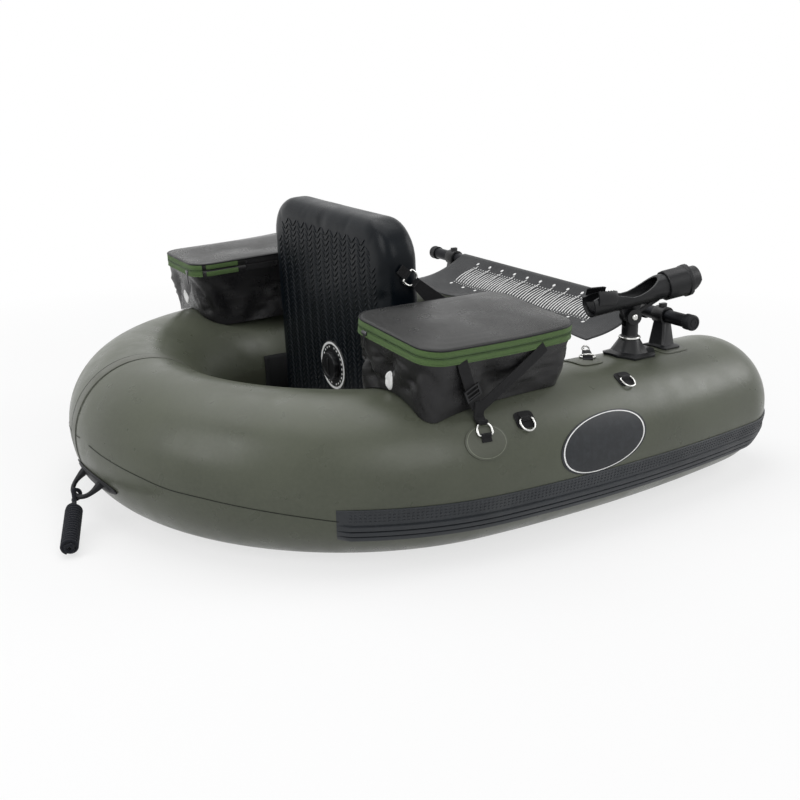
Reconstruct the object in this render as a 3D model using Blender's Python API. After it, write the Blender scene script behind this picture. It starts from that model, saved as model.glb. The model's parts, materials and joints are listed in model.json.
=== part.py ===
"""Float tube: a U-shaped inflatable hull with a folding backrest, two storage bags,
a crossbar that carries a stripping apron, a tilting rod holder and a tow rope.

Metres, +Z up. +X points from the closed stern to the open end, +Y to the left side.
The hull rests on z = 0 and the origin is below the middle of the part.
"""

import bmesh
import bpy
from math import acos, asin, cos, hypot, pi, radians, sin, sqrt
from mathutils import Matrix, Vector

RIGHT, LEFT = -1, 1
SIDE_NAMES = {RIGHT: "right", LEFT: "left"}
UP = Vector((0, 0, 1))

# Clearances shared by all pieces
FIT = 0.0003
OVERRUN = 0.004
MILLI = 0.001

# Hull
HULL_LENGTH = 1.400
TUBE_R = 0.150
TIP_R_SHARE = 0.9467
TIP_R = TUBE_R * TIP_R_SHARE
TIP_DOME = TUBE_R
ARM_Y = 0.445
TIP_Y = 0.362
STERN_DEPTH_SHARE = 0.3143
STERN_DEPTH = HULL_LENGTH * STERN_DEPTH_SHARE
FLOOR_FLAT = 0.003
TUBE_SIDES = 28
STERN_RINGS = 12
ARM_RINGS = 7
DOME_SHARES = (0.22, 0.44, 0.64, 0.82, 0.94)

# Rub strake
STRAKE_START_SHARE = -0.2429
STRAKE_START_X = HULL_LENGTH * STRAKE_START_SHARE
STRAKE_TOP = radians(-8)
STRAKE_WIDTH = 0.070
STRAKE_THICK = 0.0025
STRAKE_RIB = 0.0030
STRAKE_GROOVE_SHARES = (0.46, 0.64, 0.82)
STRAKE_GROOVE_W = 0.004
STRAKE_DOME_SHARE = 0.70

# Crossbar and its saddles
BAR_X_SHARE = 0.2943
BAR_X = HULL_LENGTH * BAR_X_SHARE
BAR_RISE = 0.071
BAR_Z = 2 * TIP_R - FLOOR_FLAT + BAR_RISE
BAR_R = 0.0135
BAR_WALL = 0.0015
BAR_OVERHANG = 0.072
CAP_R = 0.0160
CAP_LENGTH = 0.022
CAP_PLUG = 0.015
SADDLE_BASE = 0.060
SADDLE_PLATE = 0.004
SADDLE_FOOT = 0.040
SADDLE_NECK = 0.024
SADDLE_SLEEVE_R = 0.0185
SADDLE_SLEEVE_W = 0.030
LUG_LENGTH = 0.016
LUG_WIDTH = 0.010
LUG_RISE = 0.006
SKIN_SHARES = (0.2, 0.5, 0.77, 1)

# Stripping apron
APRON_HALF = 0.345
APRON_RUN_SHARE = 0.1071
APRON_RUN = HULL_LENGTH * APRON_RUN_SHARE
APRON_DROP = 0.050
APRON_SAG = 0.016
APRON_THICK = 0.0024
APRON_STATIONS = 12
APRON_WAVE = 0.005
APRON_LEAVE = radians(128)
APRON_WRAP = radians(252)
APRON_WRAP_STEPS = 8

# D-rings and their pads
BAG_RING_SHARE = -0.1
SIDE_RING_SHARE = -0.0414
GEAR_RING_SHARE = 0.15
APRON_RING_SHARE = 0.14
RING_WIDTH = 0.034
RING_REACH = 0.026
RING_WIRE = 0.0020
PAD_THICK = 0.0018
PAD_ROUND_R = 0.033
PAD_TAB_LONG = 0.020
PAD_TAB_WIDE = 0.017
ARCH_WALL = 0.0014
ARCH_LENGTH = 0.020
TIE_WIDTH = 0.020
TIE_THICK = 0.0030
HOOK_WIRE = 0.0018
HOOK_WIDTH = 0.014

# Rod holder
ROD_X_SHARE = 0.2214
ROD_X = HULL_LENGTH * ROD_X_SHARE
ROD_YAW = radians(-8)
ROD_TILT = radians(8)
ROD_BASE_LONG = 0.112
ROD_BASE_WIDE = 0.086
ROD_PLATE = 0.005
ROD_CONE_FOOT = 0.066
ROD_CONE_TOP = 0.042
ROD_CONE_RISE = 0.024
ROD_POST_R = 0.0165
ROD_POST_RISE = 0.046
ROD_EAR = 0.0098
ROD_TONGUE = 0.014
ROD_SCREW_R = 0.0035
CRADLE_R = 0.0255
CRADLE_WALL = 0.0035
CRADLE_REAR = 0.092
CRADLE_FRONT = 0.158
CRADLE_LIFT = 0.044
COLLAR_LENGTH = 0.056
COLLAR_WALL = 0.0042
COLLAR_FRONT_GAP = 0.020

# Seat
SEAT_BACK_SHARE = -0.125
SEAT_BACK_X = HULL_LENGTH * SEAT_BACK_SHARE
SEAT_FRONT_SHARE = 0.1536
SEAT_FRONT_X = HULL_LENGTH * SEAT_FRONT_SHARE
SEAT_SHEET = 0.0024
SEAT_LEVEL_SHARE = 0.56
SEAT_LEVEL = TUBE_R * SEAT_LEVEL_SHARE
SEAT_EASE = 0.0018
SEAT_FLAP_TOP = radians(18)
CUSHION_LENGTH_SHARE = 0.19
CUSHION_LENGTH = HULL_LENGTH * CUSHION_LENGTH_SHARE
CUSHION_THICK = 0.070
CUSHION_CROWN = 0.012
CUSHION_CHANNEL = 0.010
CUSHION_GAP = 0.004
CUSHION_DRAW = 0.012
CUSHION_CHANNELS = 3
CUSHION_ARC_STEPS = 14
CUSHION_SIDE_SHARE = 0.35
CUSHION_FLOOR_SHARES = (1, 0.5, 0, -0.5, -1)
CUSHION_PANEL_SHARES = (0.04, 0.25, 0.5, 0.75, 0.96)

# Backrest
BACK_SIDE_GAP = 0.0375
BACK_WIDTH = 2 * (ARM_Y - TUBE_R - BACK_SIDE_GAP)
CUSHION_WIDTH = BACK_WIDTH
BACK_HEIGHT = 0.492
BACK_THICK = 0.080
BACK_FACE_SHARE = -0.048
BACK_FACE_X = HULL_LENGTH * BACK_FACE_SHARE
BACK_CORNER_TOP = 0.085
BACK_CORNER_LOW = 0.030
BACK_EDGE = 0.026
BACK_CROWN = 0.006
BACK_LEAN = radians(3)
BACK_FOOT = 0.0028
BACK_RING_LIFT = 0.002
BACK_RING_SHARE = 0.78
BACK_VALVE_SHARE = 0.32
BACK_VALVE_Y = -0.019
VALVE_FLANGE_R = 0.054
VALVE_FLANGE_T = 0.0030
VALVE_NECK_R = 0.024
VALVE_NECK_RISE = 0.0075
VALVE_CAP_R = 0.030
VALVE_CAP_T = 0.010
STRAP_WIDTH = 0.038
STRAP_THICK = 0.0022
STRAP_ANCHOR_SHARE = 0.1071
STRAP_ANCHOR_X = HULL_LENGTH * STRAP_ANCHOR_SHARE
STRAP_ANCHOR_ANGLE = radians(35)

# Bags
BAG_X_SHARES = {RIGHT: -0.071, LEFT: -0.098}
BAG_INWARD = 0.017
BAG_Y = ARM_Y - BAG_INWARD
BAG_LENGTH_SHARE = 0.251
BAG_LENGTH = HULL_LENGTH * BAG_LENGTH_SHARE
BAG_WIDTH_SHARE = 1.62
BAG_WIDTH = TUBE_R * BAG_WIDTH_SHARE
BAG_CORNER = 0.045
BAG_STANDS = {RIGHT: 0.101, LEFT: 0.114}
BAG_HEIGHT = 0.140
BAG_SAG = 0.030
BAG_TAPER = 0.014
BAG_WALL = 0.003
BAG_YAW = radians(5)
BAG_LEANS = {RIGHT: radians(6), LEFT: radians(0.5)}
BAG_PITCHES = {RIGHT: 0, LEFT: radians(4)}
BAG_RESTS = {RIGHT: 0.0023, LEFT: 0.0019}
BAG_BAND = 0.013
BAG_FLOOR_SHARES = (0.96, 0.8, 0.62, 0.42, 0.2)
LID_HEIGHT = 0.016
LID_TOP = 0.003
LID_CROWN = 0.004
SLIDER_LENGTH = 0.014
SLIDER_HEIGHT = 0.009
SLIDER_DEPTH = 0.005
SLIDER_TAB = 0.022
BAG_STRAP_WIDTH = 0.024
BAG_STRAP_REAR = 0.104
BAG_STRAP_FRONT = 0.088
BAG_STRAP_STANDOFF = 0.016
BAG_STRAP_CLEAR = 0.007

# Hull valve
HULL_VALVE_SHARE = 0.2143
HULL_VALVE_X = HULL_LENGTH * HULL_VALVE_SHARE
HULL_VALVE_ANGLE = radians(20)
HULL_VALVE_R = 0.028
HULL_VALVE_T = 0.003
HULL_VALVE_NECK_R = 0.015
HULL_VALVE_NECK = 0.006
HULL_VALVE_CAP_R = 0.019
HULL_VALVE_CAP_T = 0.009
HULL_VALVE_EASE = 0.0006

# Stern handle and tow rope
HANDLE_ANGLE = radians(-24)
HANDLE_BASE_HALF = 0.085
HANDLE_BASE_WIDE = 0.016
HANDLE_THICK = 0.004
HANDLE_EASE = 0.0005
LOOP_HALF = 0.036
LOOP_REACH = 0.046
LOOP_BAR = 0.0045
LOOP_DROOP_SHARE = 0.35
ROPE_R = 0.0040
ROPE_GAP = 0.0006
ROPE_TURNS = 16
ROPE_POINTS = 18
CORE_R = 0.0088
CORE_BULGE = 0.0050
CORE_TAIL = 0.010
ROPE_HEADING = radians(-112)
ROPE_SLOPE = radians(9)
BIGHT_LENGTH = 0.040
BIGHT_SPREAD = 0.0010
BIGHT_EASE = 0.0019
HANK_FLOOR = 0.0008


def clear_scene():
    for item in list(bpy.data.objects):
        bpy.data.objects.remove(item, do_unlink=True)


def material(name, colour, roughness, metallic=0.0):
    made = bpy.data.materials.new(name)
    made.use_nodes = True
    shader = made.node_tree.nodes["Principled BSDF"]
    shader.inputs["Base Color"].default_value = (*colour, 1.0)
    shader.inputs["Roughness"].default_value = roughness
    shader.inputs["Metallic"].default_value = metallic
    return made


def new_object(name, points, faces, look, smooth=40):
    """Closed mesh from points and faces, with its faces turned outwards."""
    mesh = bpy.data.meshes.new(name)
    shape = bmesh.new()
    corners = [shape.verts.new(p) for p in points]
    for face in faces:
        shape.faces.new([corners[i] for i in face])
    bmesh.ops.recalc_face_normals(shape, faces=shape.faces)
    shape.to_mesh(mesh)
    shape.free()
    mesh.materials.append(look)
    mesh.shade_smooth()
    mesh.set_sharp_from_angle(angle=radians(smooth))
    made = bpy.data.objects.new(name, mesh)
    bpy.context.scene.collection.objects.link(made)
    return made


def loft(name, rings, look, smooth=40, closed=False, sheet=False):
    """Skin through rings of equal count; the ends are capped unless closed.

    A sheet's ring runs along its upper face and back along its lower one.
    """
    count = len(rings[0])
    points = [p for ring in rings for p in ring]
    faces = []
    last = len(rings) if closed else len(rings) - 1
    for k in range(last):
        a, b = k * count, ((k + 1) % len(rings)) * count
        for i in range(count):
            j = (i + 1) % count
            faces.append((a + i, a + j, b + j, b + i))
    for first in () if closed else (0, len(points) - count):
        if sheet:
            faces += [(first + i, first + i + 1, first + count - 2 - i, first + count - 1 - i)
                      for i in range(count // 2 - 1)]
        else:
            faces.append(tuple(range(first, first + count)))
    return new_object(name, points, faces, look, smooth)


def move_origin(item, point):
    """Put the object's origin at a world point, its mesh where it was."""
    item.data.transform(Matrix.Translation(-Vector(point)))
    item.location = point
    return item


def as_tool(item):
    item.hide_render = True
    item.display_type = "WIRE"
    return item


def boolean(target, tool, operation):
    as_tool(tool)
    step = target.modifiers.new(operation.title(), "BOOLEAN")
    step.operation = operation
    step.solver = "EXACT"
    step.object = tool
    return target


def frame_matrix(origin, x_axis, z_axis):
    """Matrix whose X lies along x_axis and whose Z is z_axis made square to it."""
    x = Vector(x_axis).normalized()
    z = Vector(z_axis)
    z = (z - x * z.dot(x)).normalized()
    y = z.cross(x)
    rows = Matrix((x, y, z)).transposed().to_4x4()
    return Matrix.Translation(Vector(origin)) @ rows


def circle(radius, sides, phase=0.0):
    return [(radius * cos(phase + 2 * pi * i / sides), radius * sin(phase + 2 * pi * i / sides))
            for i in range(sides)]


def prism(name, outline, height, matrix, look, smooth=30):
    """Outline in the matrix's XY plane, extruded along its Z from 0 to height."""
    rings = [[matrix @ Vector((x, y, z)) for x, y in outline] for z in (0, height)]
    return loft(name, rings, look, smooth)


def turned(name, profile, sides, matrix, look, smooth=30):
    """Solid turned about the matrix's Z; the profile is (radius, height) pairs."""
    rings = [[matrix @ Vector((x, y, z)) for x, y in circle(r, sides)] for r, z in profile]
    return loft(name, rings, look, smooth)


def pipe(name, outer, inner, length, sides, matrix, look):
    """Open-ended tube along the matrix's Z."""
    profile = ((outer, 0), (outer, length), (inner, length), (inner, 0))
    rings = [[matrix @ Vector((x, y, z)) for x, y in circle(r, sides)] for r, z in profile]
    return loft(name, rings, look, 30, closed=True)


def rounded_rectangle(half_x, half_y, corner, steps, long_steps=1, short_steps=1):
    """Outline with round corners, counter-clockwise; X edges are long, Y edges short."""
    outline = []
    centres = ((1, 1, 0), (-1, 1, 1), (-1, -1, 2), (1, -1, 3))
    for sx, sy, quarter in centres:
        cx, cy = sx * (half_x - corner), sy * (half_y - corner)
        for k in range(steps + 1):
            angle = (quarter + k / steps) * pi / 2
            outline.append((cx + corner * cos(angle), cy + corner * sin(angle)))
    full = []
    for i, here in enumerate(outline):
        after = outline[(i + 1) % len(outline)]
        full.append(here)
        if (i + 1) % (steps + 1) == 0:
            quarter = (i + 1) // (steps + 1)
            edge_steps = long_steps if quarter % 2 else short_steps
            for k in range(1, edge_steps):
                share = k / edge_steps
                full.append((here[0] + (after[0] - here[0]) * share,
                             here[1] + (after[1] - here[1]) * share))
    return full


def round_wire(name, route, radius, sides, look, closed=True):
    """Wire of round section along a route, turned with the least twist."""
    count = len(route)
    route = [Vector(p) for p in route]
    rings = []
    normal = None
    for i, point in enumerate(route):
        before = route[i - 1] if closed or i else route[0]
        after = route[(i + 1) % count] if closed or i < count - 1 else route[-1]
        along = (after - before).normalized()
        if normal is None:
            normal = along.orthogonal().normalized()
        normal = (normal - along * normal.dot(along)).normalized()
        across = along.cross(normal)
        rings.append([point + normal * x + across * y for x, y in circle(radius, sides)])
    return loft(name, rings, look, 60, closed=closed)


# Hull form: s runs 0 to 1 round the stern bend, 1 to 2 along an arm, 2 to 3 over the tip
STERN_X = -HULL_LENGTH / 2 + TUBE_R
BEND_X = STERN_X + STERN_DEPTH
END_X = HULL_LENGTH / 2 - TIP_DOME
ARM_RUN = END_X - BEND_X
ARM_TOE = ARM_Y - TIP_Y


def centre_line(side, s):
    """Point, heading and outward normal of the tube's centre line, in plan."""
    if s <= 1:
        turn = s * pi / 2
        x = STERN_X + STERN_DEPTH * (1 - cos(turn))
        y = ARM_Y * sin(turn)
        heading = Vector((STERN_DEPTH * sin(turn), ARM_Y * cos(turn)))
    else:
        u = min(s, 2) - 1
        x = BEND_X + u * ARM_RUN
        y = ARM_Y - ARM_TOE * u * u
        heading = Vector((ARM_RUN, -2 * ARM_TOE * u))
    heading.normalize()
    if s > 2:
        beyond = TIP_DOME * sin((s - 2) * pi / 2)
        x += heading.x * beyond
        y += heading.y * beyond
    outward = Vector((-heading.y, heading.x))
    return (Vector((x, side * y, 0)), Vector((heading.x, side * heading.y, 0)),
            Vector((outward.x, side * outward.y, 0)))


def tube_radius(s):
    if s <= 1:
        return TUBE_R
    if s <= 2:
        return TUBE_R + (TIP_R - TUBE_R) * (s - 1) ** 2
    return TIP_R * cos((s - 2) * pi / 2)


def tube_height(s):
    return tube_radius(min(s, 2)) - FLOOR_FLAT


def hull_point(side, s, angle, offset=0.0):
    """Point on the hull's skin; angle 0 is outermost and 90 degrees the top."""
    centre, heading, outward = centre_line(side, s)
    radial = outward * cos(angle) + UP * sin(angle)
    normal = radial
    if s > 2:
        turn = (s - 2) * pi / 2
        normal = (radial * cos(turn) / TIP_R + heading * sin(turn) / TIP_DOME).normalized()
    return centre + UP * tube_height(s) + radial * tube_radius(s) + normal * offset


def s_at(x):
    """Hull parameter of an arm's centre line at a given x."""
    if x <= BEND_X:
        return acos(1 - (x - STERN_X) / STERN_DEPTH) * 2 / pi
    return 1 + (x - BEND_X) / ARM_RUN


def surface_axes(side, x, angle):
    """Point on the skin with its forward, upward and outward directions."""
    s = s_at(x)
    centre, heading, outward = centre_line(side, s)
    normal = outward * cos(angle) + UP * sin(angle)
    around = UP * cos(angle) - outward * sin(angle)
    return hull_point(side, s, angle), heading, around, normal


def hull_top(x, y):
    """Height of the skin's upper face over a point in plan, or zero beside it."""
    side = LEFT if y > 0 else RIGHT
    nearest = min(
        (hypot(c.x - x, c.y - y), s)
        for s, c in ((k / 60, centre_line(side, k / 60)[0]) for k in range(121))
    )
    reach, s = nearest
    radius = tube_radius(s)
    return tube_height(s) + sqrt(max(radius ** 2 - reach ** 2, 0))


def patch(name, side, x, angle, half_along, half_around, power, thick, look):
    """Pad that follows the skin: a superellipse with a thin edge."""
    sides = 12
    s0 = s_at(x)
    radius = tube_radius(s0)
    forward = centre_line(side, s0)[1].x

    def spot(share, k, offset):
        turn = 2 * pi * (k + 0.5) / sides
        grow = (abs(cos(turn)) ** power + abs(sin(turn)) ** power) ** (-1 / power)
        along = half_along * cos(turn) * grow
        around = half_around * sin(turn) * grow
        s = s_at(x + along * share * forward)
        return hull_point(side, s, angle + around * share / radius, FIT + offset)

    levels = ((0.3, 0), (0.7, 0), (1, 0), (1, thick * 0.4), (0.93, thick), (0.5, thick))
    rings = [[spot(share, k, offset) for k in range(sides)] for share, offset in levels]
    return loft(name, rings, look, 50)


def hull_stations():
    stations = [k / STERN_RINGS for k in range(STERN_RINGS)]
    stations += [1 + k / ARM_RINGS for k in range(ARM_RINGS)]
    return stations + [2] + [2 + share for share in DOME_SHARES]


def build_hull(look):
    turns = [2 * pi * (k + 0.5) / TUBE_SIDES for k in range(TUBE_SIDES)]
    stations = hull_stations()
    path = [(LEFT, s) for s in reversed(stations)] + [(RIGHT, s) for s in stations[1:]]
    points = [hull_point(side, s, turn) for side, s in path for turn in turns]
    points = [Vector((p.x, p.y, max(p.z, 0))) for p in points]
    faces = []
    for k in range(len(path) - 1):
        a, b = k * TUBE_SIDES, (k + 1) * TUBE_SIDES
        for i in range(TUBE_SIDES):
            j = (i + 1) % TUBE_SIDES
            faces.append((a + i, a + j, b + j, b + i))
    for side, start in ((LEFT, 0), (RIGHT, len(points) - TUBE_SIDES)):
        pole = len(points)
        points.append(hull_point(side, 3, 0))
        faces += [(pole, start + i, start + (i + 1) % TUBE_SIDES) for i in range(TUBE_SIDES)]
    return new_object("hull_tube", points, faces, look, 60)


def strake_profile():
    """Strake section as (share of its width, height over the skin) pairs."""
    rib = STRAKE_THICK + STRAKE_RIB
    half = STRAKE_GROOVE_W / STRAKE_WIDTH / 2
    profile = [(0, FIT), (0, STRAKE_THICK * 0.5), (half, STRAKE_THICK)]
    for groove in STRAKE_GROOVE_SHARES:
        low = STRAKE_THICK * 0.8
        before = STRAKE_THICK if groove == STRAKE_GROOVE_SHARES[0] else rib
        profile += [(groove - half, before), (groove, low), (groove + half, rib)]
    profile += [(1 - half, rib), (1, STRAKE_THICK), (1, FIT)]
    return profile


def build_strake(side, look):
    profile = strake_profile()
    start, end = s_at(STRAKE_START_X), 2 + STRAKE_DOME_SHARE
    floor_shares = (0.8, 0.6, 0.4, 0.2)
    rings = []
    for s in [start] + [s for s in hull_stations() if start < s < end] + [end]:
        ring = [hull_point(side, s, STRAKE_TOP - share * STRAKE_WIDTH / TUBE_R, rise)
                for share, rise in profile]
        ring += [hull_point(side, s, STRAKE_TOP - share * STRAKE_WIDTH / TUBE_R, FIT)
                 for share in floor_shares]
        rings.append(ring)
    return loft("rub_strake_" + SIDE_NAMES[side], rings, look, 30)


def saddle_centre(side):
    return Vector((BAR_X, side * abs(centre_line(LEFT, s_at(BAR_X))[0].y), BAR_Z))


def skin_outline(side, x, outline, offset):
    """Outline drawn around the arm's top at x, laid on the skin."""
    s0 = s_at(x)
    radius = tube_radius(s0)
    forward = centre_line(side, s0)[1].x
    return [hull_point(side, s_at(x + a * forward), pi / 2 - b / radius, offset)
            for a, b in outline]


def build_saddle(side, look):
    name = "crossbar_saddle_" + SIDE_NAMES[side]
    centre = saddle_centre(side)
    base = rounded_rectangle(SADDLE_BASE / 2, SADDLE_BASE / 2, SADDLE_BASE / 8, 1, 3, 3)
    share = SADDLE_FOOT / SADDLE_BASE
    rings = [skin_outline(side, BAR_X, [(a * part, b * part) for a, b in base], FIT)
             for part in SKIN_SHARES]
    rings += [
        skin_outline(side, BAR_X, base, FIT + SADDLE_PLATE),
        skin_outline(side, BAR_X, [(a * share, b * share) for a, b in base],
                     FIT + SADDLE_PLATE * 1.5),
    ]
    heading = centre_line(side, s_at(BAR_X))[1]
    turn = frame_matrix(centre, heading, UP)
    neck = SADDLE_NECK / SADDLE_BASE
    rings.append([turn @ Vector((a * neck, side * b * neck, 0)) for a, b in base])
    body = loft(name, rings, look, 30)
    half = SADDLE_SLEEVE_W / 2
    along = frame_matrix(centre + Vector((0, -half, 0)), (1, 0, 0), (0, 1, 0))
    sleeve = turned(name + "_sleeve", ((SADDLE_SLEEVE_R, 0), (SADDLE_SLEEVE_R, SADDLE_SLEEVE_W)),
                    18, along, look)
    boolean(body, sleeve, "UNION")
    lug_low = SADDLE_SLEEVE_R - LUG_RISE
    lug = prism(name + "_lug", rounded_rectangle(LUG_LENGTH / 2, LUG_WIDTH / 2, LUG_WIDTH / 5, 2),
                LUG_RISE * 2, Matrix.Translation(centre + UP * lug_low), look)
    boolean(body, lug, "UNION")
    back = frame_matrix(centre - Vector((0, half + OVERRUN, 0)), (1, 0, 0), (0, 1, 0))
    bore_length = SADDLE_SLEEVE_W + 2 * OVERRUN
    bore = turned(name + "_bore", ((BAR_R + FIT, 0), (BAR_R + FIT, bore_length)), 20, back, look)
    return boolean(body, bore, "DIFFERENCE")


def build_crossbar(bar_look, cap_look):
    half = abs(saddle_centre(LEFT).y) + BAR_OVERHANG
    start = Vector((BAR_X, -half, BAR_Z))
    along = frame_matrix(start, (1, 0, 0), (0, 1, 0))
    inner = BAR_R - BAR_WALL
    pipe("crossbar", BAR_R, inner, 2 * half, 20, along, bar_look)
    for side in (RIGHT, LEFT):
        end = Vector((BAR_X, side * half, BAR_Z))
        out = frame_matrix(end, (1, 0, 0), (0, side, 0))
        dome = CAP_R * 0.15
        profile = (
            (inner - FIT, -CAP_PLUG),
            (inner - FIT, FIT),
            (CAP_R, FIT),
            (CAP_R, CAP_LENGTH - dome),
            (CAP_R - dome, CAP_LENGTH),
        )
        turned("crossbar_cap_" + SIDE_NAMES[side], profile, 18, out, cap_look)


def apron_section(y):
    """Middle line of the apron's sheet at a given y, from under the bar to the hem."""
    step = APRON_WRAP / APRON_WRAP_STEPS
    inner = (BAR_R + FIT) / cos(step / 2) + APRON_THICK / 2
    wrap = [APRON_LEAVE - APRON_WRAP + step * k for k in range(APRON_WRAP_STEPS + 1)]
    line = [(BAR_X + inner * cos(a), BAR_Z + inner * sin(a)) for a in wrap]
    start_x, start_z = line[-1]
    across = y / APRON_HALF
    for k in range(1, 8):
        share = k / 7
        sag = APRON_SAG * sin(pi * share) * (1 - 0.3 * across ** 2)
        wave = APRON_WAVE * share * sin(2.5 * pi * across)
        line.append((start_x - APRON_RUN * share,
                     start_z - APRON_DROP * share ** 0.9 - sag + wave))
    return line


def build_apron(look):
    rings = []
    limit = abs(saddle_centre(LEFT).y) - SADDLE_SLEEVE_W / 2 - OVERRUN
    half = min(APRON_HALF, limit)
    for k in range(APRON_STATIONS):
        y = -half + 2 * half * k / (APRON_STATIONS - 1)
        line = apron_section(y)
        upper, lower = [], []
        for i, (x, z) in enumerate(line):
            before = line[max(i - 1, 0)]
            after = line[min(i + 1, len(line) - 1)]
            along = Vector((after[0] - before[0], after[1] - before[1])).normalized()
            out = Vector((along.y, -along.x)) * APRON_THICK / 2
            upper.append(Vector((x + out.x, y, z + out.y)))
            lower.append(Vector((x - out.x, y, z - out.y)))
        rings.append(upper + lower[::-1])
    return loft("stripping_apron", rings, look, 60, sheet=True)


def ring_route(lie, wire_lift):
    """D shape in the lie's XY plane: the bar on its Y axis, the bow towards +X."""
    half = RING_WIDTH / 2 - RING_WIRE
    reach = RING_REACH - half - RING_WIRE
    route = [(0, -half), (0, -half / 2), (0, 0), (0, half / 2), (0, half), (reach, half)]
    bow = 6
    for k in range(1, bow):
        angle = pi / 2 - pi * k / bow
        route.append((reach + half * cos(angle), half * sin(angle)))
    route.append((reach, -half))
    return [lie @ Vector((x, y, wire_lift)) for x, y in route]


def ring_axes(side, x, angle, lie_angle):
    """Frame of a D-ring that lies on the skin: X points from its bar to its bow."""
    point, forward, around, normal = surface_axes(side, x, angle)
    toward = forward * cos(lie_angle) + around * sin(lie_angle)
    return frame_matrix(point, toward, normal)


def build_pad(name, side, x, angle, lie_angle, half_along, half_around, power, shift, look):
    """Pad with a webbing arch for a ring's bar; shift moves the pad along the arm or round it."""
    along, around = shift
    pad = patch(name, side, x + along, angle + around / TUBE_R, half_along, half_around,
                power, PAD_THICK, look)
    lie = ring_axes(side, x, angle, lie_angle)
    inner = RING_WIRE + FIT
    outer = inner + ARCH_WALL
    centre = FIT + PAD_THICK + FIT + RING_WIRE
    foot = FIT + PAD_THICK * 0.3
    bends = [pi * k / 4 for k in range(5)]
    outline = [(outer, foot)] + [(outer * cos(a), centre + outer * sin(a)) for a in bends]
    outline += [(-outer, foot), (-inner, foot)]
    outline += [(inner * cos(a), centre + inner * sin(a)) for a in reversed(bends)]
    outline += [(inner, foot)]
    rows = [[lie @ Vector((x, y, z)) for x, z in outline]
            for y in (-ARCH_LENGTH / 2, ARCH_LENGTH / 2)]
    arch = loft(name + "_arch", rows, look, 50)
    return boolean(pad, arch, "UNION")


def build_ring(name, side, x, angle, lie_angle, look):
    lie = ring_axes(side, x, angle, lie_angle)
    lift = FIT + PAD_THICK + FIT + RING_WIRE
    ring = round_wire(name, ring_route(lie, lift), RING_WIRE, 5, look)
    return move_origin(ring, lie @ Vector((0, 0, lift)))


def ring_spots():
    """Hull D-rings: name, x, angle, lie, pad half sizes, pad power and pad shift."""
    tab = (PAD_TAB_LONG, PAD_TAB_WIDE)
    patch = (PAD_ROUND_R, PAD_ROUND_R)
    up, down = radians(90), radians(-90)
    return (
        ("bag_ring", HULL_LENGTH * BAG_RING_SHARE, radians(35), up, patch, 2, (0, -PAD_ROUND_R * 0.35)),
        ("side_ring", HULL_LENGTH * SIDE_RING_SHARE, radians(41), down, tab, 4, (0, 0)),
        ("gear_ring", HULL_LENGTH * GEAR_RING_SHARE, radians(57), down, tab, 4, (0, 0)),
        ("apron_ring", HULL_LENGTH * APRON_RING_SHARE, radians(92), radians(48), patch, 4,
         (-PAD_ROUND_R * 0.4, 0)),
    )


def build_rings(steel, webbing, skin):
    for side in (RIGHT, LEFT):
        for name, x, angle, lie, pad, power, shift in ring_spots():
            tail = "_" + SIDE_NAMES[side]
            look = skin if power == 2 or name == "apron_ring" else webbing
            build_pad(name + "_pad" + tail, side, x, angle, lie, *pad, power, shift, look)
            build_ring(name + tail, side, x, angle, lie, steel)


def hem_corner(side):
    """Rear corner of the apron, where its ring hangs."""
    half = min(APRON_HALF, abs(saddle_centre(LEFT).y) - SADDLE_SLEEVE_W / 2 - OVERRUN)
    x, z = apron_section(side * half)[-1]
    return Vector((x, side * half, z))


def build_apron_ties(webbing, steel):
    """Webbing and a snap hook from each apron corner to the ring on the arm."""
    x, angle, lie_angle = ring_spots()[3][1:4]
    for side in (RIGHT, LEFT):
        tail = "_" + SIDE_NAMES[side]
        lie = ring_axes(side, x, angle, lie_angle)
        lift = FIT + PAD_THICK + FIT + RING_WIRE
        start = lie @ Vector((RING_REACH + FIT, 0, lift))
        end = hem_corner(side) - Vector((FIT + APRON_THICK, 0, 0))
        toward = (end - start).normalized()
        span = (end - start).length
        web = span * 0.42
        turn = frame_matrix(start, toward, UP)
        half = TIE_WIDTH / 2
        outline = [(0, -half), (web, -half * 0.8), (web, half * 0.8), (0, half)]
        rows = [[turn @ Vector((a, b, c)) for a, b in outline]
                for c in (-TIE_THICK / 2, TIE_THICK / 2)]
        loft("apron_tie" + tail, rows, webbing, 30)
        hook_start, hook_end = web + FIT + HOOK_WIRE, span - FIT - HOOK_WIRE
        middle, reach = (hook_start + hook_end) / 2, (hook_end - hook_start) / 2
        route = []
        for k in range(14):
            a = 2 * pi * k / 14
            squash = HOOK_WIDTH / 2 * (1 - 0.25 * cos(a))
            route.append(turn @ Vector((middle + reach * cos(a), squash * sin(a), 0)))
        round_wire("apron_hook" + tail, route, HOOK_WIRE, 6, steel)


def rod_frame():
    """Foot of the rod holder: on the right arm's top, turned with the cradle."""
    side = RIGHT
    centre = centre_line(side, s_at(ROD_X))[0]
    top = tube_height(s_at(ROD_X)) + tube_radius(s_at(ROD_X))
    return Vector((centre.x, centre.y, top))


def rod_pivot():
    foot = rod_frame()
    rise = ROD_PLATE + ROD_CONE_RISE + ROD_POST_RISE
    return foot + UP * rise


def rod_heading():
    return Vector((cos(ROD_YAW), sin(ROD_YAW), 0))


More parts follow.
